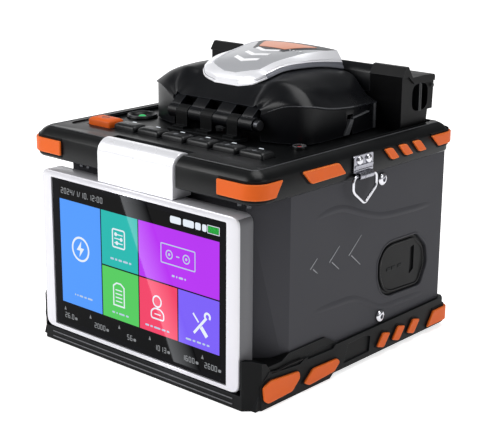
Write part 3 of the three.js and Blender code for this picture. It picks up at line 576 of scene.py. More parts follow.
def deck():
    low, high = span("top_deck")

    def outer(bm):
        rows = []
        for inset, rise in DECK_EDGE:
            radius = max(8 - inset, 1.6)
            rows.append([(x, y, low.z + rise) for x, y in
                         plan(high.x - inset, low.y + inset, high.y - inset, radius, radius)])
        add_skin(bm, rows)

    def cuts(bm):
        add_box(bm, (-NOTCH_HALF, NOTCH_HALF), (low.y - 5, NOTCH_DEPTH),
                (low.z - 5, high.z + 5))
        add_prism(bm, plan(high.x - 3.5, low.y + 16.5, high.y - 3.5, 4.5, 4.5), "z",
                  low.z - 2, low.z + 10.5)
        add_prism(bm, plan(65.2, NOTCH_DEPTH + 2, 150, 5, 5), "z", high.z - 0.7, high.z + 5)
        add_prism(bm, plan(64.2, 40, 149, 5, 5), "z", high.z - DECK_FLOOR_DROP, high.z - 0.6)
        for name in KEY_NODES:
            a, b = span(name)
            add_box(bm, (a.x - KEY_GAP, b.x + KEY_GAP), (a.y - KEY_GAP, b.y + KEY_GAP),
                    (a.z - 1, high.z - 0.6))
    piece("deck_frame", outer, DECK, "base", ["top_deck"], bevel=0.35, carve=cuts, smooth=30)

    # a thin grey line round the deck's top: painted highlight along the rim's edge
    def rim(bm):
        path = [(x, y, high.z - 0.18) for x, y in plan(68.6, low.y + 5.4, high.y - 5.4, 2.6, 2.6)]
        add_tube(bm, path, 0.28, Vector((0, 0, 1)), True, 8)

    def rim_gap(bm):
        add_box(bm, (-NOTCH_HALF, NOTCH_HALF), (low.y - 5, NOTCH_DEPTH), (low.z, high.z + 5))
    piece("deck_rim_line", rim, BEAD, "base", smooth=60, carve=rim_gap)

    def catches(bm):
        for x in (-41, -36.2, 61.8, 67.4):
            add_lathe(bm, [(0, -1.0), (1.0, -1.0), (1.0, 0.5), (0, 0.8)], "z",
                      (x, low.y + 3, low.z - 0.6), 12)
    piece("deck_catches", catches, GUNMETAL, "base")


# ------------------------------------------------------------------ orange pads

PAD_SHADE_GROW = 1.15
FACE_STEPS, CORNER_STEPS, SIDE_STEPS = 4, 12, 4


def pad_seat(name, outline, x):
    """A near-black plate under a flat pad, a little wider all round: painted shade for the
    shadowed gap of the recess the pad sits in.
    """
    cy = sum(p[0] for p in outline) / len(outline)
    cz = sum(p[1] for p in outline) / len(outline)
    wide = []
    for y, z in outline:
        away = Vector((y - cy, z - cz))
        wide.append(Vector((cy, cz)) + away + away.normalized() * PAD_SHADE_GROW)
    piece(name, lambda bm: add_prism(bm, rounded(wide, 1.6), "x", *x), PAD_SHADE, "base")


def flat_pads(kind, level, outlines, side, word):
    node = f"{level}_pad_{kind}_{word}"
    outer = span(node)[1].x if side > 0 else -span(node)[0].x
    for i, outline in enumerate(outlines):
        pad_seat(f"{node}_seat_{i + 1}", outline, side_x(side, outer - 1.7, outer - 1.25))

    def build(bm):
        for outline in outlines:
            add_prism(bm, rounded(outline, 1.3), "x", *side_x(side, outer - 1.35, outer))
    piece(node + "_soft", build, ORANGE, "base", [node], bevel=0.55, segments=3, smooth=50)


def wrap_path(node, start, end, front_corner, radius):
    """Points round a corner of the pads' band: (outer point, outward normal) from start, a
    place on the front or rear face in x, to end, a place on the side in y."""
    low, high = span(node)
    half = max(abs(low.x), high.x)
    y = low.y if front_corner else high.y
    turn = 1 if front_corner else -1
    centre = Vector((half - radius, y + turn * radius))
    points = [(Vector((lerp(start, centre.x, i / FACE_STEPS), y)), Vector((0, -turn)))
              for i in range(FACE_STEPS)]
    for i in range(CORNER_STEPS + 1):
        angle = math.pi / 2 * i / CORNER_STEPS
        normal = Vector((math.sin(angle), -turn * math.cos(angle)))
        points.append((centre + normal * radius, normal))
    for i in range(1, SIDE_STEPS + 1):
        points.append((Vector((half, lerp(centre.y, end, i / SIDE_STEPS))), Vector((1, 0))))
    return points


def wrap_pad(node, start, end, heights, lean, front_corner, side, radius=9.5):
    """A pad that wraps round a corner. Its side end leans by the given amount."""
    def band(bm, grow, inner, outer):
        rows = []
        path = wrap_path(node, start, end, front_corner, radius)
        for i, (point, normal) in enumerate(path):
            along_side = max(0, i - FACE_STEPS - CORNER_STEPS)
            shift = Vector((0, lean * along_side / SIDE_STEPS))
            corners = []
            for offset, z, slide in ((outer, heights[0] - grow, 0), (outer, heights[1] + grow, 1),
                                     (inner, heights[1] + grow, 1), (inner, heights[0] - grow, 0)):
                place = point + normal * offset + shift * slide
                corners.append((side * place.x, place.y, z))
            rows.append(corners)
        add_skin(bm, rows)
    # the near-black band under each wrapped pad, a little wider, is painted shade round its edges
    piece(node + "_seat", lambda bm: band(bm, 1.1, -1.65, -1.25), PAD_SHADE, "base",
          smooth=50)
    piece(node + "_soft", lambda bm: band(bm, 0, -1.35, 0), ORANGE, "base", [node],
          bevel=0.55, segments=3, smooth=50)


def slanted(y, width, low, high, lean):
    return [(y, high), (y + width, high - 0.1), (y + width + lean, low + 0.1), (y + lean, low)]


def pads():
    for word, side in SIDES:
        flat_pads("side", "upper", [[(32.2, 106.5), (58.1, 106.2), (63.6, 100.2), (38.7, 100)]],
                  side, word)
        flat_pads("ribs", "upper", [slanted(y, 6, 100.4, 106.4, 6.1)
                                    for y in (93.8, 105.4, 117.1)], side, word)
        flat_pads("front", "lower", [[(6.9, 11.7), (12.3, 13.7), (32.2, 12.1), (33, 8.6),
                                      (27.4, 3.5), (10.5, 2.9), (7.7, 5.1)]], side, word)
        flat_pads("side", "lower", [[(36.1, 4.6), (42.6, 10), (60.9, 9.6), (63.2, 7.3),
                                     (58.8, 3.5), (39.9, 2.5)]], side, word)
        flat_pads("ribs", "lower", [[(y, 5.6), (y + 4.8, 11.9), (y + 10.9, 10.4),
                                     (y + 5.6, 3.8)] for y in (93.4, 106.4, 119.5)], side, word)
        wrap_pad(f"upper_pad_front_{word}", 52, 13.9, (98.5, 105.7), 4.6, True, side)
        wrap_pad(f"upper_pad_rear_{word}", 58, 140.5, (100.4, 106.4), -6.8, False, side)
        wrap_pad(f"lower_pad_rear_{word}", 58, 137.5, (3.5, 11.2), 5.5, False, side, 4.0)


# ------------------------------------------------------------------ strap rings and screws

RING_PATH = ((-7.4, 0.0), (7.4, 0.0), (9.0, -1.8), (9.0, -7.0), (0.9, -13.4), (-0.9, -13.4),
             (-9.0, -7.0), (-9.0, -1.8))
BAR_BELOW_TOP = 0.9
CLIP_HALF, CLIP_THICKNESS = 7.4, 1.0


def strap_ring(word, side, x, middle, pivot):
    def wire(bm):
        corners = rounded([(middle + y, pivot + z) for y, z in RING_PATH], 1.8, 5)
        add_tube(bm, [(x, y, z) for y, z in corners], 0.76, Vector((side, 0, 0)), True, 16)
    piece(f"strap_ring_wire_{word}", wire, CHROME, f"ring_{word}", [f"strap_ring_{word}"],
          smooth=60)


def strap_clip(word, side, inner, top, x, middle, pivot):
    """The plate on the case, with two pressed ribs and the loops that hold the ring's bar."""
    def clip(bm):
        outline = rectangle(middle - CLIP_HALF, middle + CLIP_HALF, 98.6, top)
        add_prism(bm, rounded(outline, 1.2), "x", *side_x(side, inner, inner + CLIP_THICKNESS))
        for step, bulge in ((0.0, 0.4), (2.2, 0.5)):
            rib = rectangle(middle - 7.0, middle + 7.0, 98.9 + step, 100.3 + step)
            add_prism(bm, rounded(rib, 0.6), "x",
                      *side_x(side, inner + 0.9, inner + CLIP_THICKNESS + bulge))
        loop = circle(x, pivot, 1.9, 20)
        hole = circle(x, pivot, 1.2, 20)
        for a, b in ((middle - 5.2, middle - 1.9), (middle - 1.5, middle + 5.2)):
            rows = [[(px, y, pz) for px, pz in ring]
                    for ring, y in ((hole, a), (loop, a), (loop, b), (hole, b))]
            add_skin(bm, rows + [rows[0]], caps=False)
        bmesh.ops.remove_doubles(bm, verts=bm.verts, dist=1e-5)
    piece(f"strap_clip_{word}", clip, PLATED, "base", [f"strap_plate_{word}"], bevel=0.2,
          smooth=40)


def strap_rivets(word, side, inner, top, middle):
    def rivets(bm):
        for y in (middle - 3.4, middle + 3.4):
            profile = [(0, 0), (2.2, 0), (2.2, 0.5), (1.7, 1.15), (0.8, 1.45), (0, 1.5)]
            add_lathe(bm, [(r, side * h) for r, h in profile], "x",
                      (side * (inner + 0.9), y, top - 2.7), 24)
    piece(f"strap_rivets_{word}", rivets, CHROME, "base", smooth=50)


def straps():
    for word, side in SIDES:
        low, high = span(f"strap_plate_{word}")
        ring_low, ring_high = span(f"strap_ring_{word}")
        middle = (low.y + high.y) / 2
        x = (ring_low.x + ring_high.x) / 2
        pivot = ring_high.z - BAR_BELOW_TOP
        inner = min(abs(low.x), abs(high.x))
        strap_ring(word, side, x, middle, pivot)
        strap_clip(word, side, inner, high.z, x, middle, pivot)
        strap_rivets(word, side, inner, high.z, middle)


def screws():
    for level in ("upper", "lower"):
        for word, side in SIDES:
            node = f"case_screw_{level}_{word}"
            low, high = span(node)
            centre = (low + high) / 2
            inner = side * min(abs(low.x), abs(high.x))

            def dome(bm):
                profile = [(0, 0), (3.2, 0), (3.2, 0.5), (2.9, 1.0), (2.1, 1.45), (1.0, 1.65),
                           (0, 1.7)]
                add_lathe(bm, [(r, side * h) for r, h in profile], "x",
                          (inner, centre.y, centre.z), 32)

            def socket(bm):
                outline = circle(centre.y, centre.z, 1.35, 6)
                add_prism(bm, outline, "x", *side_x(side, abs(inner) + 0.7, abs(inner) + 3))
            piece(node + "_head", dome, CHROME, "base", [node], carve=socket, smooth=40)


def port():
    keep("port_panel", BLACK)
    low, high = span("port_cover")
    outline = [(96, 40), (96, 49), (100.6, 54.9), (106.4, 56.7), (128.3, 56.2), (137, 48.1),
               (138.7, 38.5), (133.2, 27.8), (105.7, 28.8), (99.5, 32.3)]
    cy, cz = (low.y + high.y) / 2, (low.z + high.z) / 2

    def shrunk(amount):
        points = []
        for y, z in outline:
            away = Vector((y - cy, z - cz))
            points.append(Vector((cy, cz)) + away - away.normalized() * amount)
        return rounded(points, 2.6, 3)

    def cover(bm):
        steps = ((0.2, low.x), (0.2, high.x - 0.9), (1.5, high.x - 0.9), (1.8, high.x - 0.1),
                 (2.6, high.x), (3.2, high.x - 0.5))
        add_skin(bm, [[(x, y, z) for y, z in shrunk(amount)] for amount, x in steps])

    def slot(bm):
        add_prism(bm, rounded([(124.2, 35.5), (127.8, 37.5), (127.8, 50.5), (124.2, 49.5)], 0.8),
                  "x", high.x - 1.5, high.x + 1)
    piece("port_door_plate", cover, BLACK, "port_door", ["port_cover"], bevel=0.2, carve=slot,
          smooth=40)

    def mark(bm):
        for start in (104.5, 108.5, 114.0):
            add_box(bm, (high.x - 0.6, high.x - 0.25), (start, start + 3.0), (41.5, 43.3))
    piece("port_door_mark", mark, BUMPER, "port_door", bevel=0.15)

    def rim(bm):
        wide = [Vector((high.x + 0.05, y, z)) for y, z in shrunk(-0.9)]
        add_tube(bm, wide, 0.55, Vector((1, 0, 0)), True, 10)
    piece("port_rim", rim, CASE, "base", smooth=60)


# ------------------------------------------------------------------ display

def frame_rows(half, low, high, radius, y):
    return [(x, y, z) for x, z in rounded(rectangle(-half, half, low, high), radius, 6)]


def display_housing():
    low, high = span("display_bezel")
    glass_low, glass_high = span("display_glass")

    def frame_shape(bm):
        inner = 0.3
        steps = ((0.9, 0.0, 5.5), (0.25, 0.35, 5.0), (0.0, 1.0, 5.0), (0.0, 9.4, 5.0),
                 (0.5, 10.2, 4.6), (1.2, 10.5, 4.0))
        rows = [frame_rows(high.x - a, low.z + a, high.z - a, r, low.y + y)
                for a, y, r in steps]
        hole = [frame_rows(glass_high.x + inner, glass_low.z - inner, glass_high.z + inner,
                           0.8, low.y + y) for y in (10.5, 0.0)]
        add_skin(bm, rows + hole + [rows[0]], caps=False)
        bmesh.ops.remove_doubles(bm, verts=bm.verts, dist=1e-5)
        for face in bm.faces:
            face.normal_update()
            outside = abs(face.calc_center_median().x) > high.x - 1.3
            face.material_index = int(outside and face.calc_center_median().y > 1.6)
    piece("display_frame", frame_shape, [BEZEL, GREY], "display", ["display_bezel"], smooth=40)
    keep("display_panel", BLACK)
    keep("display_back", GREY, bevel=0.3)
    keep("display_hinge_pin", STEEL)

    def cover(bm):
        add_prism(bm, rounded(rectangle(glass_low.x, glass_high.x, glass_low.z, glass_high.z),
                              1.0), "y", glass_low.y, glass_high.y)
    piece("screen_glass", cover, GLASS, "display", ["display_glass"], bevel=0.25)


def display_arm():
    low, high = span("display_arm")
    pivot_y, radius = low.y + 6.8, 6.8
    pivot_z = high.z - radius

    def arm(bm):
        arc = circle(pivot_y, pivot_z, radius, 25, math.pi, -0.35 * math.pi)
        side = [(low.y, 90.62)] + arc + [(6.6, pivot_z - 7), (6.6, 97), (13, 93.2), (13, 90.62)]
        add_prism(bm, side, "x", low.x, high.x)

    def bore(bm):
        add_prism(bm, circle(pivot_y, pivot_z, 2.3, 20), "x", low.x - 1, high.x + 1)
    piece("display_arm_cover", arm, SILVER, "display", ["display_arm"], bevel=0.6, segments=3,
          carve=bore, smooth=30)

    def tongue(bm):
        add_box(bm, (low.x + 3, high.x - 3), (10.8, 12.8), (low.z, 90.4))
    piece("display_arm_tongue", tongue, STEEL, "display", bevel=0.3)


# ------------------------------------------------------------------ what the screen shows

def screen_piece(name, build, material):
    piece(name, build, material, "display")


def flat(bm, outline, layer=0):
    """A thin patch on the glass. Higher layers lie in front of lower ones."""
    face = span("display_glass")[0].y
    add_prism(bm, outline, "y", face - 0.03 - 0.03 * layer, face + 0.01)


def stroke(bm, points, width, closed=False, layer=1):
    """A line of even width through points in the screen's plane."""
    corners = [Vector(p) for p in points]
    count = len(corners)
    left, right = [], []
    for i, point in enumerate(corners):
        before = corners[i - 1] if closed or i else point
        after = corners[(i + 1) % count] if closed or i < count - 1 else point
        ahead = (after - point).normalized() if after != point else (point - before).normalized()
        back = (point - before).normalized() if before != point else ahead
        normal = (ahead + back).normalized().orthogonal()
        grow = width / 2 / max(0.4, normal.dot(ahead.orthogonal()))
        left.append(point + normal * grow)
        right.append(point - normal * grow)
    for i in range(count if closed else count - 1):
        j = (i + 1) % count
        flat(bm, [left[i], right[i], right[j], left[j]], layer)


DIGITS = {"0": "abcdef", "1": "bc", "2": "abged", "3": "abgcd", "4": "fgbc", "5": "afgcd",
          "6": "afgedc", "7": "abc", "8": "abcdefg", "9": "abcdfg"}


def digits(bm, text, x, z, height):
    """Plain figures built from seven strokes each, with dots and slashes. Returns their end."""
    width = height * 0.5
    bars = {"a": ((0, 1), (1, 1)), "b": ((1, 1), (1, .5)), "c": ((1, .5), (1, 0)),
            "d": ((0, 0), (1, 0)), "e": ((0, .5), (0, 0)), "f": ((0, 1), (0, .5)),
            "g": ((0, .5), (1, .5))}
    for mark in text:
        if mark in DIGITS:
            for bar in DIGITS[mark]:
                stroke(bm, [(x + a * width, z + b * height) for a, b in bars[bar]],
                       height * 0.16)
            x += width * 1.75
        elif mark == "/":
            stroke(bm, [(x - 0.1, z), (x + width * 0.6, z + height)], height * 0.14)
            x += width * 1.3
        else:
            for share in (0.25, 0.7) if mark == ":" else (0.05,):
                flat(bm, circle(x, z + height * share, height * 0.1, 8), 1)
            x += width * 0.8 if mark != " " else width
    return x


def greeked(bm, x, z, width, height, lengths):
    """A label stood for by a row of short bars."""
    total = sum(lengths) + len(lengths) - 1
    unit = width / total
    for length in lengths:
        flat(bm, rounded(rectangle(x, x + length * unit, z, z + height), height * 0.4, 2), 1)
        x += (length + 1) * unit


TILE_LEFT, TILE_RIGHT, TILE_LOW, TILE_HIGH, TILE_ROW = -53.5, 54.6, 23.1, 77.5, 49.6
COLUMNS = (-23.4, 2.4, 28.2)
SEAM = 0.35
TILES = {
    "blue": (TILE_LEFT, COLUMNS[0], TILE_LOW, TILE_HIGH, (84, 155, 255)),
    "teal": (COLUMNS[0], COLUMNS[1], TILE_ROW, TILE_HIGH, (38, 184, 176)),
    "green": (COLUMNS[0], COLUMNS[1], TILE_LOW, TILE_ROW, (86, 203, 96)),
    "purple": (COLUMNS[1], TILE_RIGHT, TILE_ROW, TILE_HIGH, (182, 52, 240)),
    "red": (COLUMNS[1], COLUMNS[2], TILE_LOW, TILE_ROW, (240, 68, 104)),
    "violet": (COLUMNS[2], TILE_RIGHT, TILE_LOW, TILE_ROW, (124, 96, 246)),
}


def screen():
    for name, (left, right, low, high, colour) in TILES.items():
        outline = rectangle(left + SEAM, right - SEAM, low + SEAM, high - SEAM)
        screen_piece(f"screen_tile_{name}", lambda bm: flat(bm, outline),
                     lit(f"screen_{name}", srgb(*colour)))
    screen_piece("screen_bars", lambda bm: [
        flat(bm, rectangle(TILE_LEFT, TILE_RIGHT, 13.2, TILE_LOW - SEAM)),
        flat(bm, rectangle(TILE_LEFT, TILE_RIGHT, TILE_HIGH + SEAM, 84.4))],
        lit("screen_black", srgb(12, 12, 13), 0.4))
    screen_piece("screen_icons", icons, lit("screen_white", srgb(236, 244, 255), 0.95))
    screen_piece("screen_labels", labels, lit("screen_labels", srgb(205, 225, 250), 0.8))
    screen_piece("screen_readouts", readouts, lit("screen_grey", srgb(150, 152, 155), 0.8))
    screen_piece("screen_battery", lambda bm: flat(
        bm, rounded(rectangle(47.4, 53.9, 80.3, 83.3), 0.5)), lit("screen_charge",
                                                              srgb(60, 205, 85)))


def icons(bm):
    stroke(bm, circle(-38.6, 53.6, 5.9, 40), 1.05, closed=True)
    bolt = [(-37.9, 57.9), (-41.4, 52.9), (-38.9, 52.9), (-39.6, 49.4), (-36.0, 54.3),
            (-38.4, 54.3)]
    flat(bm, bolt, 1)
    stroke(bm, rounded(rectangle(-15.2, -6.9, 60.3, 69.2), 0.9, 3), 0.75, closed=True)
    for z, knob in ((66.8, -12.9), (64.7, -9.2), (62.5, -12.2)):
        stroke(bm, [(-13.9, z), (-8.2, z)], 0.5)
        flat(bm, circle(knob, z, 0.95, 14), 2)
    board = [(-15.3, 40.6), (-15.3, 30.8), (-7.9, 30.8), (-7.9, 40.6), (-10.2, 42.2),
             (-13, 42.2)]
    stroke(bm, board, 0.75, closed=True)
    for z in (38.7, 36.8, 34.9, 33.0):
        stroke(bm, [(-13.9, z), (-9.3, z)], 0.55)
    stroke(bm, circle(14.6, 39.6, 2.7, 24), 0.75, closed=True)
    stroke(bm, rounded([(10.6, 30.9), (18.9, 30.9), (18.9, 34.3), (16.6, 36), (12.8, 36),
                        (10.6, 34.3)], 1.2, 3), 0.75, closed=True)
    stroke(bm, [(12.8, 33.2), (16.9, 33.2)], 0.55)
    stroke(bm, [(38.4, 30.4), (46.3, 39.4)], 1.3)
    stroke(bm, circle(46.9, 40.2, 1.6, 12, -0.7, 4.2), 1.1)
    stroke(bm, [(37.9, 39.9), (41.4, 36.2)], 0.9)
    stroke(bm, [(42.9, 34.3), (46.6, 30.3)], 2.1)
    for left, right in ((23.7, 30.6), (31.9, 38.7), (39.5, 42.9), (43.8, 46.5)):
        flat(bm, rounded(rectangle(left, right, 80.1, 83.4), 0.9), 1)
    stroke(bm, rectangle(47.1, 54.2, 80, 83.6), 0.3, closed=True)


def labels(bm):
    greeked(bm, -43.8, 28.6, 13, 0.9, (1, 1, 3, 2, 4))
    greeked(bm, -17.0, 53.6, 14.5, 1.0, (3, 2, 3, 4, 2))
    greeked(bm, -16.5, 26.4, 11.5, 0.9, (2, 1, 4, 2))
    greeked(bm, 6.5, 25.9, 16, 0.9, (3, 2, 5, 3, 2))
    greeked(bm, 33.2, 25.9, 15, 0.9, (4, 2, 3, 2, 2))
    greeked(bm, 24.5, 54.2, 9, 1.0, (2, 1, 3, 1))
    stroke(bm, rounded(rectangle(17.6, 39.3, 59.9, 69.2), 0.5, 2), 0.55, closed=True)
    for x in (20.6, 31.5):
        stroke(bm, circle(x + 2.3, 64.5, 2.0, 20), 0.6, closed=True)
        flat(bm, circle(x + 2.3, 64.5, 0.7, 12), 2)
    stroke(bm, [(27.4, 64.5), (29.4, 64.5)], 0.6)


def readouts(bm):
    digits(bm, "2024/1/10 12:00", -51.8, 80.2, 2.6)
    for x, text in ((-49.6, "26.0"), (-27.6, "2000"), (-4.2, "56"), (14.6, "1013"),
                    (33.0, "1600"), (47.2, "2600")):
        end = digits(bm, text, x - 2.0, 15.2, 2.4)
        greeked(bm, end, 15.3, 1.8, 1.4, (1,))
    for x in (-52.2, -33.4, -12.6, 8.6, 43.0):
        flat(bm, [(x, 19.0), (x + 1.5, 19.0), (x + 0.75, 21.0)], 1)


# ------------------------------------------------------------------ keys and lamps

KEY_NODES = ["power_key"] + [f"function_key_{i + 1}" for i in range(6)]
# each function key's symbol: its number of sides, and its first corner's angle in half turns
KEY_SYMBOLS = ((3, 0.5), (4, 0.5), (24, 0.5), (3, -0.5), (6, 0.5), (4, 0.5))


def key_cap(name, low, high, material):
    def cushion(bm):
        steps = ((0.0, low.z), (0.0, high.z - 1.5), (0.35, high.z - 0.75),
                 (1.1, high.z - 0.25), (2.2, high.z - 0.02))
        rows = []
        for inset, z in steps:
            outline = rectangle(low.x + inset, high.x - inset, low.y + inset, high.y - inset)
            rows.append([(x, y, z) for x, y in rounded(outline, 1.4, 4)])
        add_skin(bm, rows)
    piece(name + "_cap", cushion, material, BODY_OF[name], [name], smooth=50)


def power_symbol(bm, centre, top):
    """An open ring with a short bar in its gap."""
    arc = [2.2 + 5.0 * k / 20 for k in range(21)]
    add_tube(bm, [(centre.x + 1.9 * math.cos(a), centre.y + 1.9 * math.sin(a), top)
                  for a in arc], 0.2, Vector((0, 0, 1)), count=8)
    add_box(bm, (centre.x - 0.2, centre.x + 0.2), (centre.y + 0.4, centre.y + 2.5),
            (top - 0.1, top + 0.05))


def function_symbol(bm, centre, top, sides, half_turns):
    """A small regular shape, different on each key."""
    turn = math.pi * half_turns
    outline = circle(centre.x, centre.y - 1.6, 1.3, sides, turn, turn + 2 * math.pi)
    add_prism(bm, outline, "z", top - 0.1, top + 0.05)


# a small white patch near the rear of a function key's top that glows: a painted glint, lit from
# within
def key_lamp(name, low, high, top):
    middle = (low.x + high.x) / 2

    def glint_patch(bm):
        outline = rectangle(middle - 1.3, middle + 1.3, high.y - 2.0, high.y - 0.9)
        add_prism(bm, rounded(outline, 0.5), "z", top - 0.4, top + 0.04)
    piece(name + "_lamp", glint_patch, KEY_GLINT, BODY_OF[name])


def keys():
    for index, name in enumerate(KEY_NODES):
        low, high = span(name)
        centre = (low + high) / 2
        top = high.z - 0.03
        power = name == "power_key"
        key_cap(name, low, high, ORANGE if power else KEY)

        def symbol(bm):
            if power:
                power_symbol(bm, centre, top)
            else:
                function_symbol(bm, centre, top, *KEY_SYMBOLS[index - 1])
        piece(name + "_symbol", symbol, LABEL, BODY_OF[name])
        if not power:
            key_lamp(name, low, high, top)


# glowing white: painted glints on the function keys
KEY_GLINT = lit("key_lamp", srgb(225, 232, 238), 0.9)
# name, place in x and y, radius and colour
LAMPS = (("green", -55.7, 60.0, 8.2, (60, 190, 110)), ("red", 50.5, 59.5, 3.4, (200, 30, 40)))


def lamps():
    """A ringed lamp by each front corner of the hood, set into the working floor."""
    floor = span("top_deck")[1].z - DECK_FLOOR_DROP
    for name, x, y, reach, colour in LAMPS:
        def dish(bm):
            profile = [(0, 0.05), (reach * 0.62, 0.05), (reach * 0.7, 0.9), (reach * 0.84, 1.5),
                       (reach * 0.93, 1.5), (reach, 0.7), (reach, -0.4), (0, -0.5)]
            add_lathe(bm, profile, "z", (x, y, floor), 48)
        piece(f"lamp_dish_{name}", dish, DECK, "base", smooth=30)

        def ring(bm):
            path = circle(x, y, reach * 0.88, 48)
            add_tube(bm, [(a, b, floor + 1.5) for a, b in path], 0.3, Vector((0, 0, 1)), True, 8)
        piece(f"lamp_ring_{name}", ring, BEAD, "base", smooth=60)

        def lens(bm):
            profile = [(0, 0), (1.9, 0), (1.9, 0.5), (1.3, 0.9), (0, 1.0)]
            add_lathe(bm, profile, "z", (x, y, floor + 0.1), 24)
        piece(f"lamp_lens_{name}", lens, lit(f"lamp_{name}", srgb(*colour), 1.0), "base",
              smooth=40)


# ------------------------------------------------------------------ windshield

# y, wall half-width, skirt height, crease half-width and height, top half-width and height
HOOD_STATIONS = (
    (56.5, 29.5, 122.6, 27.5, 124.4, 24.0, 125.2),
    (60.0, 40.5, 127.0, 32.0, 128.8, 22.0, 128.4),
    (64.0, 48.5, 127.6, 33.5, 132.9, 21.5, 131.9),
    (67.0, 51.0, 127.4, 36.0, 135.0, 21.0, 134.4),
    (70.0, 52.0, 126.9, 39.5, 135.2, 22.0, 136.0),
    (80.0, 52.3, 124.9, 45.0, 133.0, 23.6, 138.6),
    (95.0, 52.3, 123.4, 44.6, 131.2, 26.0, 139.0),
    (108.0, 51.6, 122.9, 42.8, 130.6, 27.6, 138.0),
    (119.5, 50.6, 122.4, 40.5, 129.2, 29.3, 135.8),
)
STRIPS = ((-20, -12.5), (-3.5, 4), (14, 20.5))
STRIP_GAP = 0.4
HINGE_Y, HINGE_Z = 52.6, 117.8
BEAD_FRONT, BEAD_REAR, BEAD_STEPS = 57.4, 98.74, 39


def hood_row(y):
    """Half of the hood's cross-section from its lower edge to the middle, then its mirror."""
    wall, skirt, crease_x, crease_z, top_x, top_z = curve_through(HOOD_STATIONS, y)
    right = [(wall - 0.9, 109.3), (wall - 0.9, skirt - 1.0), (wall - 0.7, skirt - 0.5),
             (wall, skirt - 0.25), (wall, skirt + 0.25)]
    for i in range(1, 7):
        t = i / 6
        dip = lerp(-0.8, 0.9, min(1, max(0, (y - 70) / 14))) * math.sin(math.pi * t)
        right.append((lerp(wall, crease_x, t) - dip * 0.5, lerp(skirt + 0.3, crease_z, t) - dip))
    for i in range(1, 9):
        t = i / 8
        crown = 1.6 * math.sin(math.pi * t)
        right.append((lerp(crease_x, top_x, t) + crown * 0.3, lerp(crease_z, top_z, t) + crown))
    for i in range(1, 5):
        right.append((top_x * (1 - i / 4), top_z + 0.25 * math.sin(math.pi * i / 8)))
    left = [(-x, z) for x, z in right[-2::-1]]
    return [(x, y, z) for x, z in right + left]


def hood_shell():
    def hood(bm):
        front, rear = HOOD_STATIONS[0][0], HOOD_STATIONS[-1][0]
        rows = [hood_row(lerp(front, rear, (i / 40) ** 1.25)) for i in range(41)]
        rows.append([(x * 0.985, rear, z - 0.3 if z > 110 else z) for x, _, z in rows[-1]])
        rings = add_skin(bm, rows, closed=False, caps=False)
        bm.faces.new(rings[-1])

    def slots(bm):
        add_box(bm, (-60, 60), (94.5, 99.5), (100, 119.5))
        for a, b in STRIPS:
            add_box(bm, (a - STRIP_GAP, b + STRIP_GAP), (48, 58.6), (108, 124.4))
    piece("windshield_hood", hood, HOOD, "windshield", ["windshield_shell"], thicken=2.0,
          carve=slots, smooth=38)


def hood_knuckles():
    """The hood's front lip and its half of the hinge, with gaps for the metal strips."""
    def brow(bm):
        gaps = [edge for a, b in STRIPS for edge in (a - STRIP_GAP, b + STRIP_GAP)]
        edges = [-26.2] + gaps + [29.2]
        face = [(52.2, 119.6), (52.3, 121.2), (52.8, 122.0), (58.2, 126.4), (59.8, 126.9),
                (60.2, 125.2), (58.5, 121), (55.6, 118.6)]
        for a, b in zip(edges[::2], edges[1::2]):
            add_prism(bm, face, "x", a, min(b, 27.5))
            add_prism(bm, circle(HINGE_Y, HINGE_Z, 3.45, 28), "x", a, b)

    def bores(bm):
        add_prism(bm, circle(HINGE_Y, HINGE_Z, 1.6, 20), "x", -30, 32)
    piece("windshield_knuckles", brow, HOOD, "windshield", bevel=0.3,
          carve=bores, smooth=40)


def hood_beads():
    """The fine raised line along the top of the hood's skirt, on both sides; its light grey is
    painted highlight along the skirt's edge.
    """
    for word, side in SIDES:
        def bead(bm, side=side):
            path = []
            for i in range(BEAD_STEPS + 1):
                y = lerp(BEAD_FRONT, BEAD_REAR, i / BEAD_STEPS)
                wall, skirt = curve_through(HOOD_STATIONS, y)[:2]
                path.append((side * (wall + 0.05), y, skirt))
            add_tube(bm, path, 0.34, Vector((side, 0, 0)), count=8)
        piece(f"windshield_bead_{word}", bead, BEAD, "windshield",
              smooth=60)


def hood_side_rib():
    """The raised tab, step and post around the side slot, on the right side only."""
    def lift_tab(bm):
        add_prism(bm, [(91.6, 109.8), (95.6, 109.8), (98.8, 117.0), (96.2, 117.0)], "x",
                  50.4, 52.5)
        add_prism(bm, [(98.8, 117.0), (112.0, 118.6), (112.0, 119.3), (98.8, 117.9)], "x",
                  49.8, 51.9)
        add_prism(bm, [(117.6, 109.4), (119.4, 109.4), (119.4, 122.2), (117.6, 122.2)], "x",
                  48.6, 50.7)
    piece("windshield_side_rib", lift_tab, BEAD, "windshield", bevel=0.2)


def hood_shade_sheet():
    """A black sheet inside the hood, behind the gaps for the hinge strips: painted shade that
    keeps those gaps dark.
    """
    def shade_sheet(bm):
        add_box(bm, (-24, 24), (60.2, 61.2), (113, 126))
    piece("windshield_shade_sheet", shade_sheet, BLACK, "windshield", bevel=0.2)


def windshield():
    hood_shell()
    hood_knuckles()
    hood_beads()
    hood_side_rib()
    hood_shade_sheet()
    keep("windshield_bracket", BUMPER, bevel=0.3)
    keep("windshield_pin", GUNMETAL, bevel=0.25)


# y, half-width at the foot, trim height, half-width and height of the rim, crown height
CAP_STATIONS = (
    (63.9, 8.0, 135.0, 6.8, 135.3, 135.4),
    (65.4, 15.5, 136.0, 12.0, 136.9, 137.2),
    (67.0, 18.5, 137.2, 14.0, 138.2, 138.7),
    (70.0, 21.3, 139.0, 15.6, 140.0, 140.6),
    (80.0, 23.4, 141.7, 17.0, 142.8, 143.7),
    (95.0, 25.9, 142.2, 19.5, 144.8, 146.0),
    (108.0, 27.5, 141.4, 22.3, 145.6, 146.9),
    (120.4, 29.1, 140.0, 24.4, 145.2, 146.1),
)
CAP_SEAT_LIFT = 0.45


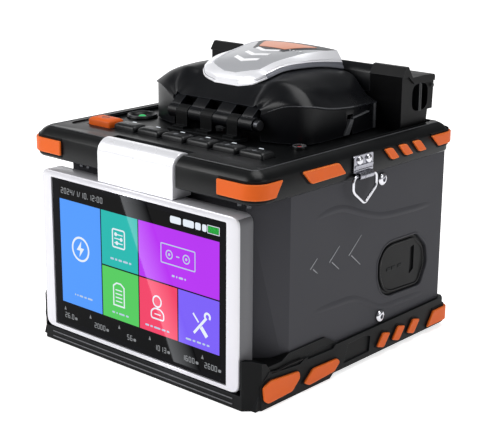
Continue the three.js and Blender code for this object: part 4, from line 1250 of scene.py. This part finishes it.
def cap_seat(y):
    """The height of the cap's foot, just above the hood."""
    return curve_through(HOOD_STATIONS, y)[-1] + CAP_SEAT_LIFT


def cap_height(x, y):
    """The crowned top of the cap."""
    half, trim, rim_half, rim, crown = curve_through(CAP_STATIONS, y)
    if abs(x) > rim_half:
        share = (abs(x) - rim_half) / (half - 1.2 - rim_half)
        return lerp(rim, trim, min(1.0, share))
    return lerp(crown, rim, (abs(x) / rim_half) ** 2)


def cap_shell():
    def shell(bm):
        rows = []
        for i in range(37):
            y = lerp(CAP_STATIONS[0][0], CAP_STATIONS[-1][0], (i / 36) ** 1.6)
            half, trim, rim_half = curve_through(CAP_STATIONS, y)[:3]
            seat = cap_seat(y)
            right = [(half - 1.4, seat), (half - 0.3, seat), (half, lerp(seat, trim, 0.14)),
                     (half - 0.5, lerp(seat, trim, 0.48)), (half - 0.9, lerp(seat, trim, 0.52)),
                     (half - 1.1, lerp(seat, trim, 0.92)), (half - 1.5, trim)]
            for k in range(1, 5):
                x = lerp(half - 1.5, rim_half, k / 4)
                right.append((x, cap_height(x, y)))
            for k in range(1, 9):
                x = rim_half * (1 - k / 8)
                right.append((x, cap_height(x, y)))
            left = [(-x, z) for x, z in right[-2::-1]]
            rows.append([(x, y, z) for x, z in right + left])
        add_skin(bm, rows)
        for face in bm.faces:
            middle = face.calc_center_median()
            half, trim = curve_through(CAP_STATIONS, middle.y)[:2]
            seat = cap_seat(middle.y)
            share = (middle.z - seat) / (trim - seat)
            side = abs(middle.x) > half - 1.6
            face.material_index = int(side and (0.45 < share < 0.6 or middle.y > 70
                                                and share < 0.93))
    piece("windshield_cap_shell", shell, [SILVER, CAP_TRIM], "windshield", ["windshield_cap"],
          bevel=0.25, smooth=35)


def cap_overlay(name, outline_at, y0, y1, material, lift):
    """A thin skin on the cap from y0 to y1, between limits in x that depend on y."""
    def build(bm):
        rows = []
        for i in range(31):
            y = lerp(y0, y1, i / 30)
            left, right = outline_at(y)
            top = [(lerp(left, right, k / 12), y) for k in range(13)]
            rows.append([(x, yy, cap_height(x, yy) + lift) for x, yy in top]
                        + [(x, yy, cap_height(x, yy) - 0.25) for x, yy in top[::-1]])
        add_skin(bm, rows)
    piece(name, build, material, "windshield", smooth=40)


def cap_skins():
    """The rails, the grey panel, the dark frame at its rear and the orange label on that."""
    for word, side in SIDES:
        def rail_limits(y, side=side):
            half, _, rim_half = curve_through(CAP_STATIONS, y)[:3]
            return side * (rim_half + 0.1), side * (half - 1.7)
        cap_overlay(f"cap_rail_{word}", rail_limits, 71.0, 120.3, SILVER, 0.4)

    def panel_limits(y):
        half = curve_through(CAP_STATIONS, y)[2]
        narrow = min(1.0, (y - 66.0) / 5) ** 0.5
        return -(half - 0.4) * narrow, (half - 0.4) * narrow
    cap_overlay("cap_panel", panel_limits, 66.4, 119.6, PANEL, 0.12)

    def frame_limits(y):
        half = curve_through(CAP_STATIONS, y)[2]
        reach = lerp(9.0, half - 0.3, min(1.0, (y - 93) / 22))
        return -reach, reach
    cap_overlay("cap_rear_frame", frame_limits, 95.0, 119.9, DARK_GREY, 0.3)

    def label_limits(y):
        half = lerp(8.5, 16.5, min(1.0, (y - 98) / 14))
        return -half, half
    cap_overlay("cap_orange_label", label_limits, 98.0, 114.0, SOFT_ORANGE, 0.5)


CHEVRON_TIPS = (74.5, 82.5, 90.5)
CHEVRON_HALF, CHEVRON_SWEEP, CHEVRON_DEPTH = 7.5, 3.4, 2.5
MARK_LIFT = 0.35


def cap_chevron_arm(bm, tip, sign):
    """One arm of a chevron, laid over the crowned cap. Its tip points to the front."""
    rows = []
    for i in range(7):
        t = i / 6
        x, y = sign * CHEVRON_HALF * t, tip + CHEVRON_SWEEP * t
        top = [(x, depth, cap_height(x, depth) + MARK_LIFT) for depth in (y, y + CHEVRON_DEPTH)]
        rows.append(top + [(x, depth, z - 0.5) for x, depth, z in top[::-1]])
    add_skin(bm, rows)


def cap_marks():
    def marks(bm):
        for tip in CHEVRON_TIPS:
            for sign in (1, -1):
                cap_chevron_arm(bm, tip, sign)
        for i in range(4):
            x, y = 11.5 + i * 1.9, 98.6 + i * 0.4
            add_lathe(bm, [(0, 0), (0.55, 0), (0.55, 0.2), (0, 0.25)], "z",
                      (x, y, cap_height(x, y) + MARK_LIFT), 12)
    piece("cap_marks", marks, WHITE_MARK, "windshield")


def cap():
    cap_shell()
    cap_skins()
    cap_marks()


# ------------------------------------------------------------------ heater and inner works

def heater():
    keep("heater_housing", BLACK, bevel=0.5)

    def guides(bm):
        for side in (1, -1):
            for y, top in ((136.9, 130.4), (138.2, 129.8)):
                add_box(bm, side_x(side, 46.0, 64.2), (y, y + 0.9), (117.0, top + 1))
            add_lathe(bm, [(0, 0), (1.1, 0), (1.1, side * 0.4), (0, side * 0.6)], "x",
                      (side * 64.6, 147.6, 129.0), 16)
    piece("heater_end_guides", guides, KEY, "base")
    keep("heater_tray", STEEL, bevel=0.2)
    keep("heater_pin", STEEL)
    low, high = span("heater_lid")
    front, rear, bottom = low.y, high.y, low.z

    def lid(bm):
        outer = [(front, bottom), (front, 135.6), (front + 0.5, 136.6), (front + 3.0, 139.3),
                 (front + 4.2, high.z), (rear - 3.0, 135.5), (rear - 1.2, 134.9),
                 (rear, 133.4), (rear, bottom + 2), (rear - 2, bottom)]
        add_prism(bm, outer, "x", low.x, high.x)

    def hollow(bm):
        inner = [(front + 2.4, bottom - 1), (front + 2.4, 135.2), (front + 4.4, 136.8),
                 (rear - 4.2, 132.6), (rear - 4.2, bottom - 1)]
        add_prism(bm, inner, "x", low.x + 2.4, high.x - 2.4)
        add_box(bm, (low.x - 1, high.x + 1), (131, 142.8), (bottom - 1, 131))
        add_prism(bm, circle(146.4, 128.9, 1.3, 16), "x", low.x - 1, high.x + 1)
    piece("heater_lid_shell", lid, HOOD, "heater_cover", ["heater_lid"], bevel=0.4,
          carve=hollow, smooth=30)


def inner_works():
    keep("battery_pack", CELL, bevel=0.5)
    keep("main_board", BOARD)
    keep("splice_stage", STEEL, bevel=0.2)
    for end in ("front", "rear"):
        keep(f"electrode_{end}", BRASS)
    for word, _ in SIDES:
        keep(f"sheath_clamp_{word}", STEEL, bevel=0.25)


# ------------------------------------------------------------------ studio

# name, place, width and height in metres, and power in watts; all aim at the same place
LIGHTS = (("key_front_left", (-500, -700, 650), (0.7, 0.7), 9),
          ("top_soft", (100, 250, 1000), (0.8, 0.6), 6),
          ("fill_right", (900, 300, 450), (0.6, 0.6), 2.0),
          ("sheen_left", (-1250, 760, 400), (2.0, 0.8), 5))
LIGHT_AIM = (0, 70, 80)
FLOOR_RADIUS, FLOOR_DROP = 9.0, 0.0002


def area_light(name, place, size, power):
    data = bpy.data.lights.new(name, "AREA")
    data.shape = "RECTANGLE"
    data.size, data.size_y = size
    data.energy = power
    light = bpy.data.objects.new(name, data)
    bpy.context.scene.collection.objects.link(light)
    light.location = at(*place)
    light.rotation_euler = (at(*LIGHT_AIM) - at(*place)).to_track_quat("-Z", "Y").to_euler()


def studio():
    bm = bmesh.new()
    bmesh.ops.create_circle(bm, cap_ends=True, segments=64, radius=FLOOR_RADIUS)
    mesh = bpy.data.meshes.new("floor")
    bm.to_mesh(mesh)
    bm.free()
    floor = bpy.data.objects.new("floor", mesh)
    floor.location = (0, 0, CAD_BOX[0].z - FLOOR_DROP)
    floor.data.materials.append(backdrop("floor_white", (0.9, 0.9, 0.9, 1), 0.75))
    bpy.context.scene.collection.objects.link(floor)

    world = bpy.data.worlds.new("studio")
    world.use_nodes = True
    world.node_tree.nodes["Background"].inputs["Color"].default_value = (0.95, 0.97, 1.0, 1)
    world.node_tree.nodes["Background"].inputs["Strength"].default_value = 0.16
    bpy.context.scene.world = world
    for light in LIGHTS:
        area_light(*light)


GLARE_AHEAD, GLARE_GLOW = 10.0, 20.0


def screen_glare():
    """A card that only reflections see: a soft sheen on the screen with one sharp edge."""
    top, foot = Vector((-21.6, 83.6)), Vector((14.7, 6.2))
    reach = 18.0
    corners = [(top.x, top.y), (foot.x, foot.y), (foot.x + reach, foot.y), (top.x + reach, top.y)]
    card = made("screen_glare", lambda bm: bm.faces.new(
        [bm.verts.new((x, -GLARE_AHEAD, z)) for x, z in corners]))
    s = Shader("glare_card")
    s.set(Base_Color=(0, 0, 0, 1), Specular_IOR_Level=0.0, Emission_Color=(0.93, 0.96, 1, 1))
    across = s.nodes.new("ShaderNodeVectorMath")
    across.operation = "DOT_PRODUCT"
    across.inputs[1].default_value = (1, 0, (top.x - foot.x) / (foot.y - top.y))
    s.links.new(s.coords, across.inputs[0])
    start = at(top.x, 0, top.y).dot(Vector(across.inputs[1].default_value))
    glow = s.spread(across.outputs["Value"], GLARE_GLOW, 0.0, start, start + reach * MM)
    s.plug("Emission Strength", glow)
    card.data.materials.append(s.material)
    card.visible_camera = False
    card.visible_diffuse = False
    card.visible_shadow = False
    card.visible_transmission = False


CAMERA = {"place": (416.6, -390.9, 244.5), "azimuth": 41.38, "elevation": 16.12, "roll": 0.47,
          "lens": 91.55, "sensor": 36.0, "shift": (0.0007, -0.005)}


def camera():
    data = bpy.data.cameras.new("camera")
    data.sensor_width = CAMERA["sensor"]
    data.sensor_fit = "HORIZONTAL"
    data.lens = CAMERA["lens"]
    data.shift_x, data.shift_y = CAMERA["shift"]
    data.clip_end = 50
    obj = bpy.data.objects.new("camera", data)
    bpy.context.scene.collection.objects.link(obj)
    obj.location = at(*CAMERA["place"])
    azimuth, elevation = math.radians(CAMERA["azimuth"]), math.radians(CAMERA["elevation"])
    forward = Vector((-math.sin(azimuth) * math.cos(elevation),
                      math.cos(azimuth) * math.cos(elevation), -math.sin(elevation)))
    turn = forward.to_track_quat("-Z", "Y").to_matrix().to_4x4()
    roll = math.radians(CAMERA["roll"])
    obj.rotation_euler = (turn @ Matrix.Rotation(roll, 4, "Z")).to_euler()
    bpy.context.scene.camera = obj
    bpy.context.scene.view_settings.view_transform = "Standard"


camera()
case()
bumper()
deck()
pads()
straps()
screws()
port()
display_housing()
display_arm()
screen()
keys()
lamps()
windshield()
cap()
heater()
inner_works()
studio()
screen_glare()
